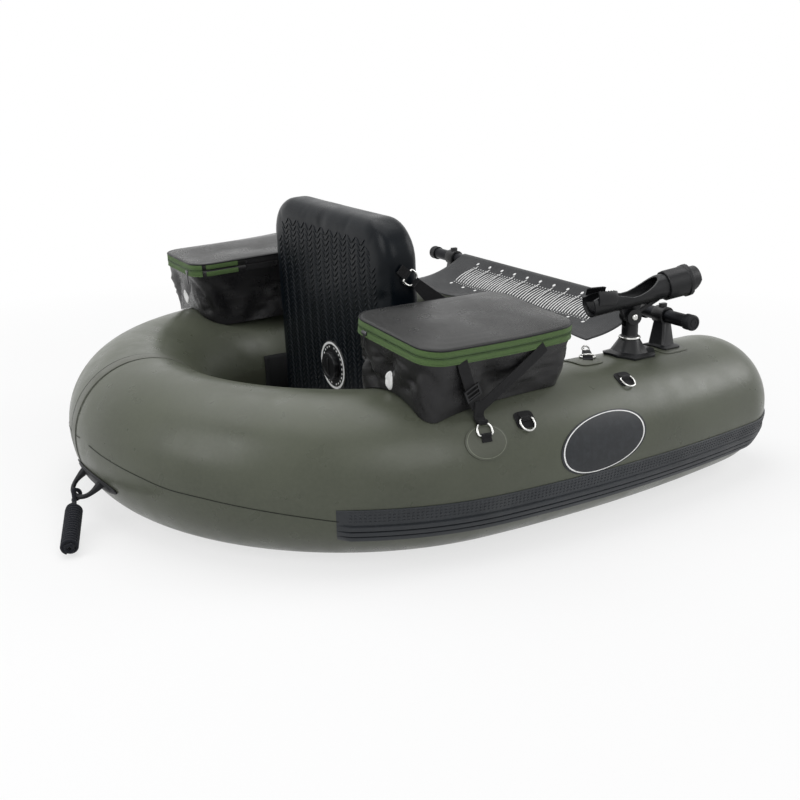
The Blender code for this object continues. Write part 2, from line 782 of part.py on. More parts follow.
def build_rod_base(look):
    octagon = []
    cut = ROD_BASE_WIDE * 0.3
    hx, hy = ROD_BASE_LONG / 2, ROD_BASE_WIDE / 2
    for sx, sy in ((1, 1), (-1, 1), (-1, -1), (1, -1)):
        pair = [(sx * hx, sy * (hy - cut)), (sx * (hx - cut), sy * hy)]
        octagon += pair if sx * sy > 0 else pair[::-1]
    fine = []
    for i, here in enumerate(octagon):
        after = octagon[(i + 1) % len(octagon)]
        fine += [(here[0] + (after[0] - here[0]) * k / 3, here[1] + (after[1] - here[1]) * k / 3)
                 for k in range(3)]
    foot = rod_frame()
    cone = [(a * ROD_CONE_FOOT / ROD_BASE_LONG, b * ROD_CONE_FOOT / ROD_BASE_WIDE)
            for a, b in fine]
    rings = [skin_outline(RIGHT, ROD_X, [(a * part, b * part) for a, b in fine], FIT)
             for part in SKIN_SHARES]
    rings += [
        skin_outline(RIGHT, ROD_X, fine, FIT + ROD_PLATE),
        skin_outline(RIGHT, ROD_X, cone, FIT + ROD_PLATE * 1.3),
    ]
    top = foot.z + ROD_PLATE + ROD_CONE_RISE
    heading = centre_line(RIGHT, s_at(ROD_X))[1]
    turn = frame_matrix(Vector((foot.x, foot.y, top)), heading, UP)
    rim = []
    for a, b in fine:
        size = hypot(a / hx, b / hy)
        rim.append(turn @ Vector((a / hx / size * ROD_CONE_TOP / 2,
                                  -b / hy / size * ROD_CONE_TOP / 2, 0)))
    rings.append(rim)
    return loft("rod_base", rings, look, 25)


def build_rod_post(look, steel):
    foot = rod_frame()
    pivot = rod_pivot()
    low = foot.z + ROD_PLATE + ROD_CONE_RISE + FIT
    straight = Matrix.Translation(Vector((foot.x, foot.y, low)))
    rise = pivot.z - low
    shoulder = ROD_POST_R * 1.12
    profile = (
        (shoulder, 0),
        (shoulder, ROD_PLATE),
        (ROD_POST_R, ROD_PLATE * 1.6),
        (ROD_POST_R, rise - ROD_POST_R * 0.3),
    )
    post = turned("rod_post", profile, 18, straight, look)
    heading = rod_heading()
    across = UP.cross(heading)
    width = ROD_TONGUE + 2 * ROD_EAR
    side_on = frame_matrix(pivot - across * width / 2, heading, across)
    ear_r = ROD_POST_R
    head = turned("rod_post_head", ((ear_r, 0), (ear_r, width)), 18, side_on, look)
    boolean(post, head, "UNION")
    slot_width = ROD_TONGUE + 2 * FIT
    slot_low = pivot.z - ROD_POST_R - OVERRUN
    half = slot_width / 2
    reach = ROD_POST_R * 1.5
    slot_turn = frame_matrix(Vector((pivot.x, pivot.y, slot_low)), heading, UP)
    slot_outline = [(-reach, -half), (reach, -half), (reach, half), (-reach, half)]
    slot = prism("rod_post_slot", slot_outline, ROD_POST_R * 3, slot_turn, look)
    boolean(post, slot, "DIFFERENCE")
    back = frame_matrix(pivot - across * (width / 2 + OVERRUN), heading, across)
    hole = turned("rod_post_hole", ((ROD_SCREW_R + FIT, 0),
                                    (ROD_SCREW_R + FIT, width + 2 * OVERRUN)), 12, back, look)
    boolean(post, hole, "DIFFERENCE")
    move_origin(post, pivot - UP * rise)
    head_r = ROD_SCREW_R * 1.9
    head_t = ROD_SCREW_R * 0.8
    out = frame_matrix(pivot - across * (width / 2 + FIT + head_t), heading, across)
    shank = width + 2 * FIT + head_t
    profile = (
        (head_r * 0.7, 0),
        (head_r, head_t * 0.5),
        (head_r, head_t),
        (ROD_SCREW_R, head_t),
        (ROD_SCREW_R, shank),
        (head_r, shank),
        (head_r, shank + head_t),
    )
    turned("rod_screw", profile, 12, out, steel)


def cradle_matrix():
    """Cradle frame: X along the trough, Z square to it, origin on the tilt axis."""
    heading = rod_heading()
    along = heading * cos(ROD_TILT) + UP * sin(ROD_TILT)
    return frame_matrix(rod_pivot(), along, UP)


def build_cradle(look, collar_look):
    frame = cradle_matrix()
    axis = frame @ Matrix.Translation(Vector((-CRADLE_REAR, 0, CRADLE_LIFT)))
    run = CRADLE_REAR + CRADLE_FRONT
    along = axis @ Matrix.Rotation(pi / 2, 4, "Y")
    trough = pipe("rod_cradle", CRADLE_R, CRADLE_R - CRADLE_WALL, run, 24, along, look)
    big = CRADLE_R + OVERRUN
    collar_start = run - COLLAR_FRONT_GAP - COLLAR_LENGTH
    open_end = collar_start - OVERRUN
    ridge = CRADLE_R * 0.62
    dip = -CRADLE_R * 0.05
    ridge_run = CRADLE_REAR * 0.42
    steps = 8
    cut = [(-OVERRUN, big), (-OVERRUN, ridge * 0.72), (ridge_run * 0.4, ridge), (ridge_run, ridge)]
    for k in range(1, steps + 1):
        share = k / steps
        x = ridge_run + (open_end - ridge_run) * share
        level = ridge + (dip - ridge) * min(share / 0.4, 1)
        if share > 0.4:
            level = dip + (big - dip) * ((share - 0.4) / 0.6) ** 1.8
        cut.append((x, level))
    side_on = axis @ Matrix.Translation(Vector((0, big, 0))) @ Matrix.Rotation(pi / 2, 4, "X")
    mouth = prism("rod_cradle_mouth", cut, 2 * big, side_on, look)
    boolean(trough, mouth, "DIFFERENCE")
    nose_run = COLLAR_FRONT_GAP * 0.8
    nose = [(run - nose_run, -big), (run + OVERRUN, -big), (run + OVERRUN, big * 0.25)]
    nose_cut = prism("rod_cradle_nose", nose, 2 * big, side_on, look)
    boolean(trough, nose_cut, "DIFFERENCE")
    tongue_r = ROD_POST_R * 0.92
    half = ROD_TONGUE / 2
    low = CRADLE_R - CRADLE_WALL / 2
    web = [(tongue_r * cos(a), tongue_r * sin(a))
           for a in (pi + pi * k / 10 for k in range(11))]
    lift = CRADLE_LIFT - low
    web += [(tongue_r * 1.5, lift), (-tongue_r * 1.5, lift)]
    web_turn = frame @ Matrix.Translation(Vector((0, half, 0))) @ Matrix.Rotation(pi / 2, 4, "X")
    tongue = prism("rod_cradle_tongue", web, ROD_TONGUE, web_turn, look)
    boolean(trough, tongue, "UNION")
    brace_rise = CRADLE_LIFT - CRADLE_R
    brace_end = CRADLE_FRONT * 0.42
    brace_thick = CRADLE_WALL * 1.4
    brace = [(tongue_r * 0.6, brace_rise * 0.35), (tongue_r * 0.9, brace_rise * 0.1),
             (brace_end, brace_rise), (brace_end, brace_rise + brace_thick),
             (brace_end - brace_thick * 2, brace_rise + brace_thick)]
    arm = prism("rod_cradle_brace", brace, ROD_TONGUE, web_turn, look)
    boolean(trough, arm, "UNION")
    hole_start = web_turn @ Matrix.Translation(Vector((0, 0, -OVERRUN)))
    hole = turned("rod_cradle_hole", ((ROD_SCREW_R + FIT, 0),
                                      (ROD_SCREW_R + FIT, ROD_TONGUE + 2 * OVERRUN)),
                  12, hole_start, look)
    boolean(trough, hole, "DIFFERENCE")
    move_origin(trough, rod_pivot())
    inner = CRADLE_R + FIT
    outer = inner + COLLAR_WALL
    ring_turn = along @ Matrix.Translation(Vector((0, 0, collar_start)))
    edge = COLLAR_WALL * 0.4
    bulge = COLLAR_WALL * 0.6
    profile = (
        (inner, 0),
        (outer - edge, 0),
        (outer, edge),
        (outer, COLLAR_LENGTH * 0.82),
        (outer + bulge, COLLAR_LENGTH * 0.86),
        (outer + bulge, COLLAR_LENGTH),
        (inner, COLLAR_LENGTH),
    )
    rings = []
    for r, z in profile:
        ring = []
        for x, y in circle(1, 24, pi / 24):
            grow = r
            if r > inner:
                turn = (acos(max(-1, min(1, x))) % (pi / 4)) - pi / 8
                grow = r / cos(turn) * cos(pi / 24)
            ring.append(ring_turn @ Vector((x * grow, y * grow, z)))
        rings.append(ring)
    collar = loft("rod_collar", rings, collar_look, 25, closed=True)
    move_origin(collar, axis @ Vector((collar_start + COLLAR_LENGTH / 2, 0, 0)))


def seat_section(x):
    """Seat sheet's middle line at x: up the right arm's inner side, across, up the left."""
    s = s_at(x)
    centre = centre_line(LEFT, s)[0]
    radius = tube_radius(s) + SEAT_EASE + SEAT_SHEET / 2
    height = tube_height(s)
    leave = -asin((height - SEAT_LEVEL) / radius)
    flap = [SEAT_FLAP_TOP + (leave - SEAT_FLAP_TOP) * k / 7 for k in range(8)]
    skew = centre_line(LEFT, s)[2].y
    left = [(centre.y - radius * cos(a) / skew, height + radius * sin(a)) for a in flap]
    right = [(-y, z) for y, z in left]
    middle = [(right[-1][0] * (1 - 2 * k / 4), SEAT_LEVEL) for k in range(1, 4)]
    return right + middle + left[::-1]


def build_seat_sheet(look):
    rings = []
    stations = 7
    for k in range(stations):
        x = SEAT_BACK_X + (SEAT_FRONT_X - SEAT_BACK_X) * k / (stations - 1)
        line = seat_section(x)
        upper, lower = [], []
        for i, (y, z) in enumerate(line):
            before = line[max(i - 1, 0)]
            after = line[min(i + 1, len(line) - 1)]
            along = Vector((after[0] - before[0], after[1] - before[1])).normalized()
            out = Vector((-along.y, along.x)) * SEAT_SHEET / 2
            upper.append(Vector((x, y + out.x, z + out.y)))
            lower.append(Vector((x, y - out.x, z - out.y)))
        rings.append(upper + lower[::-1])
    return loft("seat_sheet", rings, look, 50, sheet=True)


def seat_top():
    return SEAT_LEVEL + SEAT_SHEET / 2 + FIT


def cushion_section(share, low, high):
    """Outline across the cushion: flat below, drawn in at the foot, crowned above."""
    half = CUSHION_WIDTH / 2 * share
    rise = high - low
    foot = half - CUSHION_DRAW
    outline = [(-foot * part, low) for part in CUSHION_FLOOR_SHARES]
    for k in range(1, CUSHION_ARC_STEPS):
        turn = pi * k / CUSHION_ARC_STEPS
        side = half * abs(cos(turn)) ** CUSHION_SIDE_SHARE * (1 if cos(turn) > 0 else -1)
        outline.append((side, low + rise * (0.3 + 0.7 * abs(sin(turn)) ** CUSHION_SIDE_SHARE)))
    return outline


def build_cushion(look):
    """Seat cushion: flat base, round front and rear, crown and channels across it."""
    low = seat_top()
    start = BACK_FACE_X + FIT + CUSHION_GAP
    stations = []
    for k in range(CUSHION_CHANNELS + 1):
        stations += [(k + part) / (CUSHION_CHANNELS + 1) for part in CUSHION_PANEL_SHARES]
    rings = []
    for share in stations:
        bow = abs(2 * share - 1)
        edge = (1 - bow ** 6) ** 0.5
        panel = (share * (CUSHION_CHANNELS + 1)) % 1
        crease = (2 * abs(panel - 0.5)) ** 6
        top = CUSHION_THICK + CUSHION_CROWN * edge - CUSHION_CHANNEL * crease
        high = low + CUSHION_THICK * 0.45 + (top - CUSHION_THICK * 0.45) * edge
        narrow = 1 - 0.05 * bow ** 6
        lift = CUSHION_DRAW * 0.6 * bow ** 12
        outline = cushion_section(narrow, low + lift, high)
        rings.append([Vector((start + CUSHION_LENGTH * share, y, z)) for y, z in outline])
    return loft("seat_cushion", rings, look, 60)


def back_pivot():
    """Hinge line of the backrest: at its front face, level with the cushion."""
    return Vector((BACK_FACE_X, 0, seat_top() + CUSHION_THICK))


def back_matrix():
    """Backrest frame: X out of its rear face, Y across, Z up its height, at its foot."""
    pivot = back_pivot()
    lean = Matrix.Rotation(-BACK_LEAN, 4, "Y")
    foot = Matrix.Translation(Vector((0, 0, -(pivot.z - seat_top() - BACK_FOOT))))
    return Matrix.Translation(pivot) @ lean @ foot


def back_outline(inset):
    """Backrest outline in Y and Z: wide radii on top, small ones below."""
    half, high = BACK_WIDTH / 2 - inset, BACK_HEIGHT - inset
    big, small = BACK_CORNER_TOP - inset, BACK_CORNER_LOW - inset
    outline = []
    for sign, centre_z, radius, start in (
        (1, high - big, big, 0),
        (-1, high - big, big, 1),
        (-1, inset + small, small, 2),
        (1, inset + small, small, 3),
    ):
        for k in range(5):
            a = (start + k / 4) * pi / 2
            outline.append((sign * (half - radius) + radius * cos(a), centre_z + radius * sin(a)))
    return outline


def build_backrest(look):
    frame = back_matrix()
    edge_steps = 4
    rings = []

    def row(depth, inset):
        return [frame @ Vector((-depth, y, z)) for y, z in back_outline(inset)]

    def crowned(depth_sign, share):
        base = back_outline(BACK_EDGE)
        middle = BACK_HEIGHT / 2
        rise = BACK_CROWN * (1 - share ** 2)
        depth = -rise if depth_sign < 0 else BACK_THICK + rise
        return [frame @ Vector((-depth, y * share, middle + (z - middle) * share))
                for y, z in base]

    for share in (0.25, 0.6):
        rings.append(crowned(-1, share))
    for k in range(edge_steps + 1):
        a = pi / 2 * (1 - k / edge_steps)
        rings.append(row(BACK_EDGE * (1 - sin(a)), BACK_EDGE * (1 - cos(a))))
    for k in range(edge_steps + 1):
        a = pi / 2 * k / edge_steps
        rings.append(row(BACK_THICK - BACK_EDGE * (1 - sin(a)), BACK_EDGE * (1 - cos(a))))
    for share in (0.6, 0.25):
        rings.append(crowned(1, share))
    back = loft("backrest", rings, look, 60)
    return move_origin(back, back_pivot())


def valve_matrix():
    """Backrest valve: origin on the rear face, Z pointing out of it."""
    frame = back_matrix()
    spot = Vector((-(BACK_THICK + BACK_CROWN), BACK_VALVE_Y, BACK_HEIGHT * BACK_VALVE_SHARE))
    return frame @ Matrix.Translation(spot) @ Matrix.Rotation(-pi / 2, 4, "Y")


def valve_pair(name, matrix, flange_r, flange_t, neck_r, neck_rise, cap_r, cap_t, looks):
    """Flange with a threaded neck, and a grooved cap that screws over the neck."""
    sides = 18
    top = FIT + flange_t + neck_rise
    body_profile = (
        (flange_r, FIT),
        (flange_r, FIT + flange_t * 0.5),
        (flange_r * 0.95, FIT + flange_t),
        (neck_r, FIT + flange_t),
        (neck_r, top),
    )
    turned(name + "_body", body_profile, sides, matrix, looks[0])
    bore = (neck_r + FIT) / cos(pi / sides)
    cap_low = FIT + flange_t + FIT
    cap_top = top + FIT + cap_t * 0.4
    rings = []
    profile = (
        (bore, cap_low, False),
        (cap_r, cap_low, True),
        (cap_r, cap_top - cap_t * 0.15, True),
        (cap_r * 0.9, cap_top, False),
        (cap_r * 0.25, cap_top, False),
    )
    under = ((cap_r * 0.25, top + FIT), (bore, top + FIT))
    for r, z, grip in profile:
        ring = []
        for k, (x, y) in enumerate(circle(1, sides)):
            size = r * (0.94 if grip and k % 3 == 0 else 1)
            ring.append(matrix @ Vector((x * size, y * size, z)))
        rings.append(ring)
    count = len(rings)
    lower = [[matrix @ Vector((x, y, z)) for x, y in circle(r, sides)] for r, z in under]
    points = [p for ring in rings + lower for p in ring]
    faces = []
    strips = [(a, a + 1) for a in range(count - 1)] + [(count, count + 1), (count + 1, 0)]
    for a, b in strips:
        for i in range(sides):
            j = (i + 1) % sides
            faces.append((a * sides + i, a * sides + j, b * sides + j, b * sides + i))
    faces.append(tuple(range((count - 1) * sides, count * sides)))
    faces.append(tuple(range(count * sides, (count + 1) * sides)))
    cap = new_object(name + "_cap", points, faces, looks[1], 30)
    return move_origin(cap, matrix @ Vector((0, 0, cap_low)))


def back_ring_matrix(side):
    """Backrest side ring: on the side face, X pointing forward and down the strap."""
    frame = back_matrix()
    spot = frame @ Vector((-BACK_THICK / 2, side * BACK_WIDTH / 2, BACK_HEIGHT * BACK_RING_SHARE))
    anchor = strap_anchor(side)
    toward = anchor - spot
    toward.y = 0
    return frame_matrix(spot, toward, (0, side, 0))


def strap_anchor(side):
    s = s_at(STRAP_ANCHOR_X)
    return hull_point(side, s, pi - STRAP_ANCHOR_ANGLE, FIT + STRAP_THICK / 2)


def build_back_rings(steel, webbing):
    for side in (RIGHT, LEFT):
        tail = "_" + SIDE_NAMES[side]
        frame = back_ring_matrix(side)
        lift = BACK_RING_LIFT + FIT + RING_WIRE
        ring = round_wire("backrest_ring" + tail, ring_route(frame, lift), RING_WIRE, 5, steel)
        move_origin(ring, back_pivot())
        inner = RING_WIRE + FIT
        outer = inner + ARCH_WALL
        block = [(-PAD_TAB_LONG, FIT), (outer, FIT), (outer, lift)]
        bends = [pi * k / 6 for k in range(1, 6)]
        block += [(outer * cos(a), lift + outer * sin(a)) for a in bends]
        block += [(-outer, lift), (-PAD_TAB_LONG, FIT + BACK_RING_LIFT)]
        rows = [[frame @ Vector((x, y, z)) for x, z in block]
                for y in (-ARCH_LENGTH / 2, ARCH_LENGTH / 2)]
        tab = loft("backrest_tab" + tail, rows, webbing, 40)
        half = ARCH_LENGTH / 2 + OVERRUN
        hole_turn = frame @ Matrix.Translation(Vector((0, half, lift)))
        hole_turn = hole_turn @ Matrix.Rotation(pi / 2, 4, "X")
        hole = turned("backrest_tab_hole" + tail, ((inner, 0), (inner, 2 * half)), 12,
                      hole_turn, webbing)
        boolean(tab, hole, "DIFFERENCE")
        start = frame @ Vector((RING_REACH + FIT, 0, lift))
        end = strap_anchor(side)
        route = []
        steps = 8
        for k in range(steps + 1):
            share = k / steps
            ease = share * share * (3 - 2 * share)
            point = start.lerp(end, share)
            point.y = start.y + (end.y - start.y) * ease
            route.append(point)
        width_dir = (end - start).cross(Vector((0, 1, 0))).normalized()
        tip_normal = surface_axes(side, STRAP_ANCHOR_X, pi - STRAP_ANCHOR_ANGLE)[3]
        rings = []
        for k, point in enumerate(route):
            share = k / steps
            narrow = 0.5 + 0.5 * min(share * 4, 1)
            near = max(share * 1.6 - 0.6, 0)
            normal = (Vector((0, side, 0)) * (1 - near) - tip_normal * near).normalized()
            along = (route[min(k + 1, steps)] - route[max(k - 1, 0)]).normalized()
            normal = (normal - along * normal.dot(along)).normalized()
            across = normal.cross(along)
            if across.dot(width_dir) < 0:
                across = -across
            w, t = across * STRAP_WIDTH / 2 * narrow, normal * STRAP_THICK / 2
            rings.append([point - w - t, point + w - t, point + w + t, point - w + t])
        loft("backrest_strap" + tail, rings, webbing, 40)


def bag_matrix(side):
    """Bag frame: X along the bag, Y outwards over the arm's side, Z up, at the rim's middle."""
    rim_z = 2 * TUBE_R - FLOOR_FLAT + BAG_STANDS[side]
    place = Matrix.Translation(Vector((HULL_LENGTH * BAG_X_SHARES[side], side * BAG_Y, rim_z)))
    turn = Matrix.Rotation(-side * BAG_YAW, 4, "Z")
    lean = Matrix.Rotation(-side * BAG_LEANS[side], 4, "X")
    pitch = Matrix.Rotation(-BAG_PITCHES[side], 4, "Y")
    return place @ turn @ lean @ pitch


def bag_outline(inset):
    return rounded_rectangle(BAG_LENGTH / 2 - inset, BAG_WIDTH / 2 - inset,
                             BAG_CORNER - inset, 2, 4, 5)


def build_bag(side, look):
    """Open-topped bag whose floor saddles the hull and whose sides draw in downwards."""
    frame = bag_matrix(side)

    def wall(inset, drop, taper):
        return [frame @ Vector((x, y, -drop)) for x, y in bag_outline(inset + taper)]

    def floor(share, inset, lift):
        row = []
        for x, y in bag_outline(inset + BAG_TAPER):
            across = y * share / (BAG_WIDTH / 2)
            sag = BAG_SAG * across ** 2
            point = frame @ Vector((x * share, y * share, -BAG_HEIGHT + BAG_SAG - sag))
            clear = hull_top(point.x, point.y) + BAG_RESTS[side]
            row.append(Vector((point.x, point.y, max(point.z, clear) + lift)))
        return row

    half = BAG_HEIGHT / 2
    rings = [
        wall(0, 0, 0),
        wall(0, BAG_BAND, 0),
        wall(BAG_WALL / 2, BAG_BAND + FIT, 0),
        wall(0, half, BAG_TAPER * 0.55),
        floor(1, 0, BAG_WALL),
    ]
    rings += [floor(share, 0, 0) for share in BAG_FLOOR_SHARES]
    inner = [floor(share, BAG_WALL, BAG_WALL) for share in reversed(BAG_FLOOR_SHARES)]
    inner += [
        wall(BAG_WALL, half, BAG_TAPER * 0.55),
        wall(BAG_WALL * 1.5, BAG_BAND + FIT, 0),
        wall(BAG_WALL, 0, 0),
    ]
    count = len(rings[0])
    points = [p for ring in rings + inner for p in ring]
    faces = []
    total = len(rings) + len(inner)
    for k in range(total):
        if k == len(rings) - 1:
            continue
        a, b = k * count, ((k + 1) % total) * count
        for i in range(count):
            j = (i + 1) % count
            faces.append((a + i, a + j, b + j, b + i))
    middle = frame @ Vector((0, 0, -BAG_HEIGHT + BAG_SAG))
    clear = max(middle.z, hull_top(middle.x, middle.y) + BAG_RESTS[side])
    for start, lift in ((len(rings) - 1, 0), (len(rings), BAG_WALL)):
        pole = len(points)
        points.append(Vector((middle.x, middle.y, clear + lift)))
        first = start * count
        faces += [(pole, first + i, first + (i + 1) % count) for i in range(count)]
    return new_object("bag_body_" + SIDE_NAMES[side], points, faces, look, 40)


def lid_hinge(side):
    """Point on the lid's hinge line: the rim's inner long edge."""
    return bag_matrix(side) @ Vector((0, -side * BAG_WIDTH / 2, FIT))


def build_lid(side, look):
    """Shallow tray that closes the bag, with a low crown."""
    frame = bag_matrix(side)

    def row(inset, z, share=1.0):
        return [frame @ Vector((x * share, y * share, z)) for x, y in bag_outline(inset)]

    edge = LID_TOP / 2
    rings = [
        row(0, FIT),
        row(0, LID_HEIGHT - edge),
        row(edge, LID_HEIGHT),
        row(edge, LID_HEIGHT + LID_CROWN * 0.55, 0.75),
        row(edge, LID_HEIGHT + LID_CROWN, 0.35),
    ]
    inner = [
        row(BAG_WALL, LID_HEIGHT - LID_TOP + LID_CROWN, 0.35),
        row(BAG_WALL, LID_HEIGHT - LID_TOP + LID_CROWN * 0.55, 0.75),
        row(BAG_WALL, LID_HEIGHT - LID_TOP),
        row(BAG_WALL, FIT),
    ]
    count = len(rings[0])
    points = [p for ring in rings + inner for p in ring]
    faces = []
    total = len(rings) + len(inner)
    for k in range(total):
        a, b = k * count, ((k + 1) % total) * count
        if k == len(rings) - 1:
            faces.append(tuple(range(a, a + count)))
            faces.append(tuple(range(b, b + count)))
            continue
        for i in range(count):
            j = (i + 1) % count
            faces.append((a + i, a + j, b + j, b + i))
    lid = new_object("bag_lid_" + SIDE_NAMES[side], points, faces, look, 40)
    return move_origin(lid, lid_hinge(side))


def build_slider(side, look):
    """Zip slider with its pull, on the rear short side of the bag's rim."""
    frame = bag_matrix(side)
    face = -BAG_LENGTH / 2 - FIT
    y0 = -side * (BAG_WIDTH / 2 - BAG_CORNER - SLIDER_LENGTH / 2)
    z0 = -BAG_BAND / 2
    half = SLIDER_LENGTH / 2
    tall = SLIDER_HEIGHT / 2
    outline = [(face, z0 - tall), (face, z0 + tall), (face - SLIDER_DEPTH * 0.7, z0 + tall * 0.9),
               (face - SLIDER_DEPTH, z0), (face - SLIDER_DEPTH * 0.8, z0 - tall * 0.8)]
    pull_low = z0 - tall - SLIDER_TAB
    pull = SLIDER_DEPTH * 0.4
    rows = [[frame @ Vector((x, y0 + y, z)) for x, z in outline] for y in (-half, half)]
    body = loft("bag_slider_" + SIDE_NAMES[side], rows, look, 25)
    thin = [(face - pull, z0), (face - 2 * pull, z0), (face - 2 * pull, pull_low),
            (face - pull, pull_low)]
    rows = [[frame @ Vector((x, y0 + y, z)) for x, z in thin]
            for y in (-half * 0.35, half * 0.35)]
    tab = loft("bag_slider_tab_" + SIDE_NAMES[side], rows, look, 25)
    boolean(body, tab, "UNION")
    return move_origin(body, frame @ Vector((face, y0, z0)))


def build_bag_strap(side, look):
    """V of webbing down the bag's outer face to the ring on the arm."""
    frame = bag_matrix(side)
    x, angle, lie_angle = ring_spots()[0][1:4]
    lie = ring_axes(side, x, angle, lie_angle)
    lift = FIT + PAD_THICK + FIT + RING_WIRE
    ring_end = lie @ Vector((RING_REACH + FIT + STRAP_THICK, 0, lift))
    foot_x = (frame.inverted() @ ring_end).x
    proud = FIT + STRAP_THICK / 2
    out = side * (BAG_WIDTH / 2 + proud)
    hem_out = side * (BAG_WIDTH / 2 - BAG_TAPER + BAG_STRAP_STANDOFF + proud)
    hem_z = -BAG_HEIGHT + BAG_WALL
    top_z = -BAG_BAND - FIT
    half = BAG_STRAP_WIDTH / 2

    def at(x, share):
        y = out + (hem_out - out) * share
        point = frame @ Vector((x, y, top_z + (hem_z - top_z) * share))
        point.z = max(point.z, hull_top(point.x, point.y) + BAG_STRAP_CLEAR)
        return point

    crotch = 0.72
    down = foot_x - half * 0.2
    points = [
        at(-BAG_STRAP_REAR - half, 0),
        at(-BAG_STRAP_REAR + half, 0),
        at(down, crotch),
        at(BAG_STRAP_FRONT - half, 0),
        at(BAG_STRAP_FRONT + half, 0),
        at(foot_x + half, 1),
        at(foot_x - half, 1),
    ]
    across = (points[5] - points[6]).normalized()
    points.append(ring_end + across * half * 0.8)
    points.append(ring_end - across * half * 0.8)
    faces = ((0, 1, 2, 6), (2, 3, 4, 5), (6, 2, 5), (6, 5, 7, 8))
    mesh = bpy.data.meshes.new("bag_strap_" + SIDE_NAMES[side])
    mesh.from_pydata([tuple(p) for p in points], [], faces)
    mesh.materials.append(look)
    strap = bpy.data.objects.new("bag_strap_" + SIDE_NAMES[side], mesh)
    bpy.context.scene.collection.objects.link(strap)
    sheet = strap.modifiers.new("Sheet", "SOLIDIFY")
    sheet.thickness = STRAP_THICK
    sheet.offset = 0
    return strap


def stern_point(across, angle, offset):
    """Point on the skin round the stern's middle; across runs along +Y."""
    side = LEFT if across >= 0 else RIGHT
    s = asin(min(abs(across) / ARM_Y, 1)) * 2 / pi
    return hull_point(side, s, angle, offset)


def handle_axes():
    """Frame of the handle: X out from the skin's foot line, Y along +Y, Z its normal."""
    point = stern_point(0, HANDLE_ANGLE, 0)
    outward = Vector((-1, 0, 0))
    normal = outward * cos(HANDLE_ANGLE) + UP * sin(HANDLE_ANGLE)
    return point, normal


def build_handle(look):
    """Moulded stern handle: a long glued base with a D-shaped grip."""
    around = 16
    levels = ((0.2, 0), (0.45, 0), (0.72, 0), (1, 0), (1, HANDLE_THICK * 0.35),
              (0.9, HANDLE_THICK), (0.6, HANDLE_THICK), (0.2, HANDLE_THICK))
    rings = []
    for share, rise in levels:
        ring = []
        for k in range(around):
            turn = 2 * pi * k / around
            power = 3.0
            grow = (abs(cos(turn)) ** power + abs(sin(turn)) ** power) ** (-1 / power)
            across = HANDLE_BASE_HALF * cos(turn) * grow * share
            waist = HANDLE_BASE_WIDE * (1 - 0.35 * (across / HANDLE_BASE_HALF) ** 2)
            up = waist * sin(turn) * grow * share
            ring.append(stern_point(across, HANDLE_ANGLE + up / TUBE_R, HANDLE_EASE + rise))
        rings.append(ring)
    handle = loft("stern_handle", rings, look, 50)
    route = [stern_point(y, HANDLE_ANGLE, HANDLE_THICK * 0.6) + d for y, d in grip_shape()]
    grip = round_wire("stern_handle_grip", route, LOOP_BAR, 7, look, closed=False)
    return boolean(handle, grip, "UNION")


def grip_shape():
    """Grip's route as places along the base and reaches from it."""
    point, normal = handle_axes()
    reach_dir = (normal - UP * LOOP_DROOP_SHARE).normalized()
    shape = []
    steps = 10
    for k in range(steps + 1):
        turn = pi * k / steps
        flat = abs(sin(turn)) ** 0.6
        shape.append((LOOP_HALF * cos(turn), reach_dir * LOOP_REACH * flat))
    return shape


def grip_bow():
    """Middle of the grip's outer bar."""
    reach = grip_shape()[5][1]
    return stern_point(0, HANDLE_ANGLE, HANDLE_THICK * 0.6) + reach


def hank_matrix():
    """Hank frame: Z runs down the wound part from its top end."""
    down = Vector((cos(ROPE_HEADING) * cos(ROPE_SLOPE), sin(ROPE_HEADING) * cos(ROPE_SLOPE),
                   -sin(ROPE_SLOPE)))
    radius = CORE_R + FIT + 2 * ROPE_R
    length = ROPE_TURNS * (2 * ROPE_R + ROPE_GAP) + CORE_TAIL
    bow = grip_bow()
    start = bow + Vector((down.x, down.y, 0)).normalized() * BIGHT_LENGTH
    low_end = radius + HANK_FLOOR + length * sin(ROPE_SLOPE)
    start.z = low_end
    return frame_matrix(start, Vector((down.y, -down.x, 0)), down), length


def build_rope(look):
    frame, length = hank_matrix()
    pitch = 2 * ROPE_R + ROPE_GAP
    ring_r = CORE_R + FIT + ROPE_R
    route = []
    count = ROPE_TURNS * ROPE_POINTS
    for k in range(count + 1):
        turn = 2 * pi * k / ROPE_POINTS
        route.append(Vector((ring_r * cos(turn), ring_r * sin(turn),
                             ROPE_R + pitch * k / ROPE_POINTS)))
    curve = bpy.data.curves.new("rope_winding", "CURVE")
    curve.dimensions = "3D"
    line = curve.splines.new("POLY")
    line.points.add(len(route) - 1)
    for spot, point in zip(line.points, route):
        spot.co = (*(frame @ point), 1)
    curve.bevel_depth = ROPE_R
    curve.bevel_resolution = 1
    curve.use_fill_caps = True
    curve.materials.append(look)
    winding = bpy.data.objects.new("rope_winding", curve)
    bpy.context.scene.collection.objects.link(winding)
    least = least_gap(route, ROPE_POINTS)
    print("rope winding: least gap to itself %.2f mm" % ((least - 2 * ROPE_R) / MILLI))
    wound = pitch * ROPE_TURNS + 2 * ROPE_R
    bulge = CORE_R + CORE_BULGE
    profile = (
        (CORE_R * 0.8, 0),
        (CORE_R, CORE_R * 0.25),
        (CORE_R, wound + FIT),
        (bulge, wound + CORE_TAIL * 0.35),
        (bulge * 0.95, wound + CORE_TAIL * 0.75),
        (bulge * 0.5, wound + CORE_TAIL),
    )
    turned("rope_core", profile, 16, frame, look)
    build_bight(frame, look)


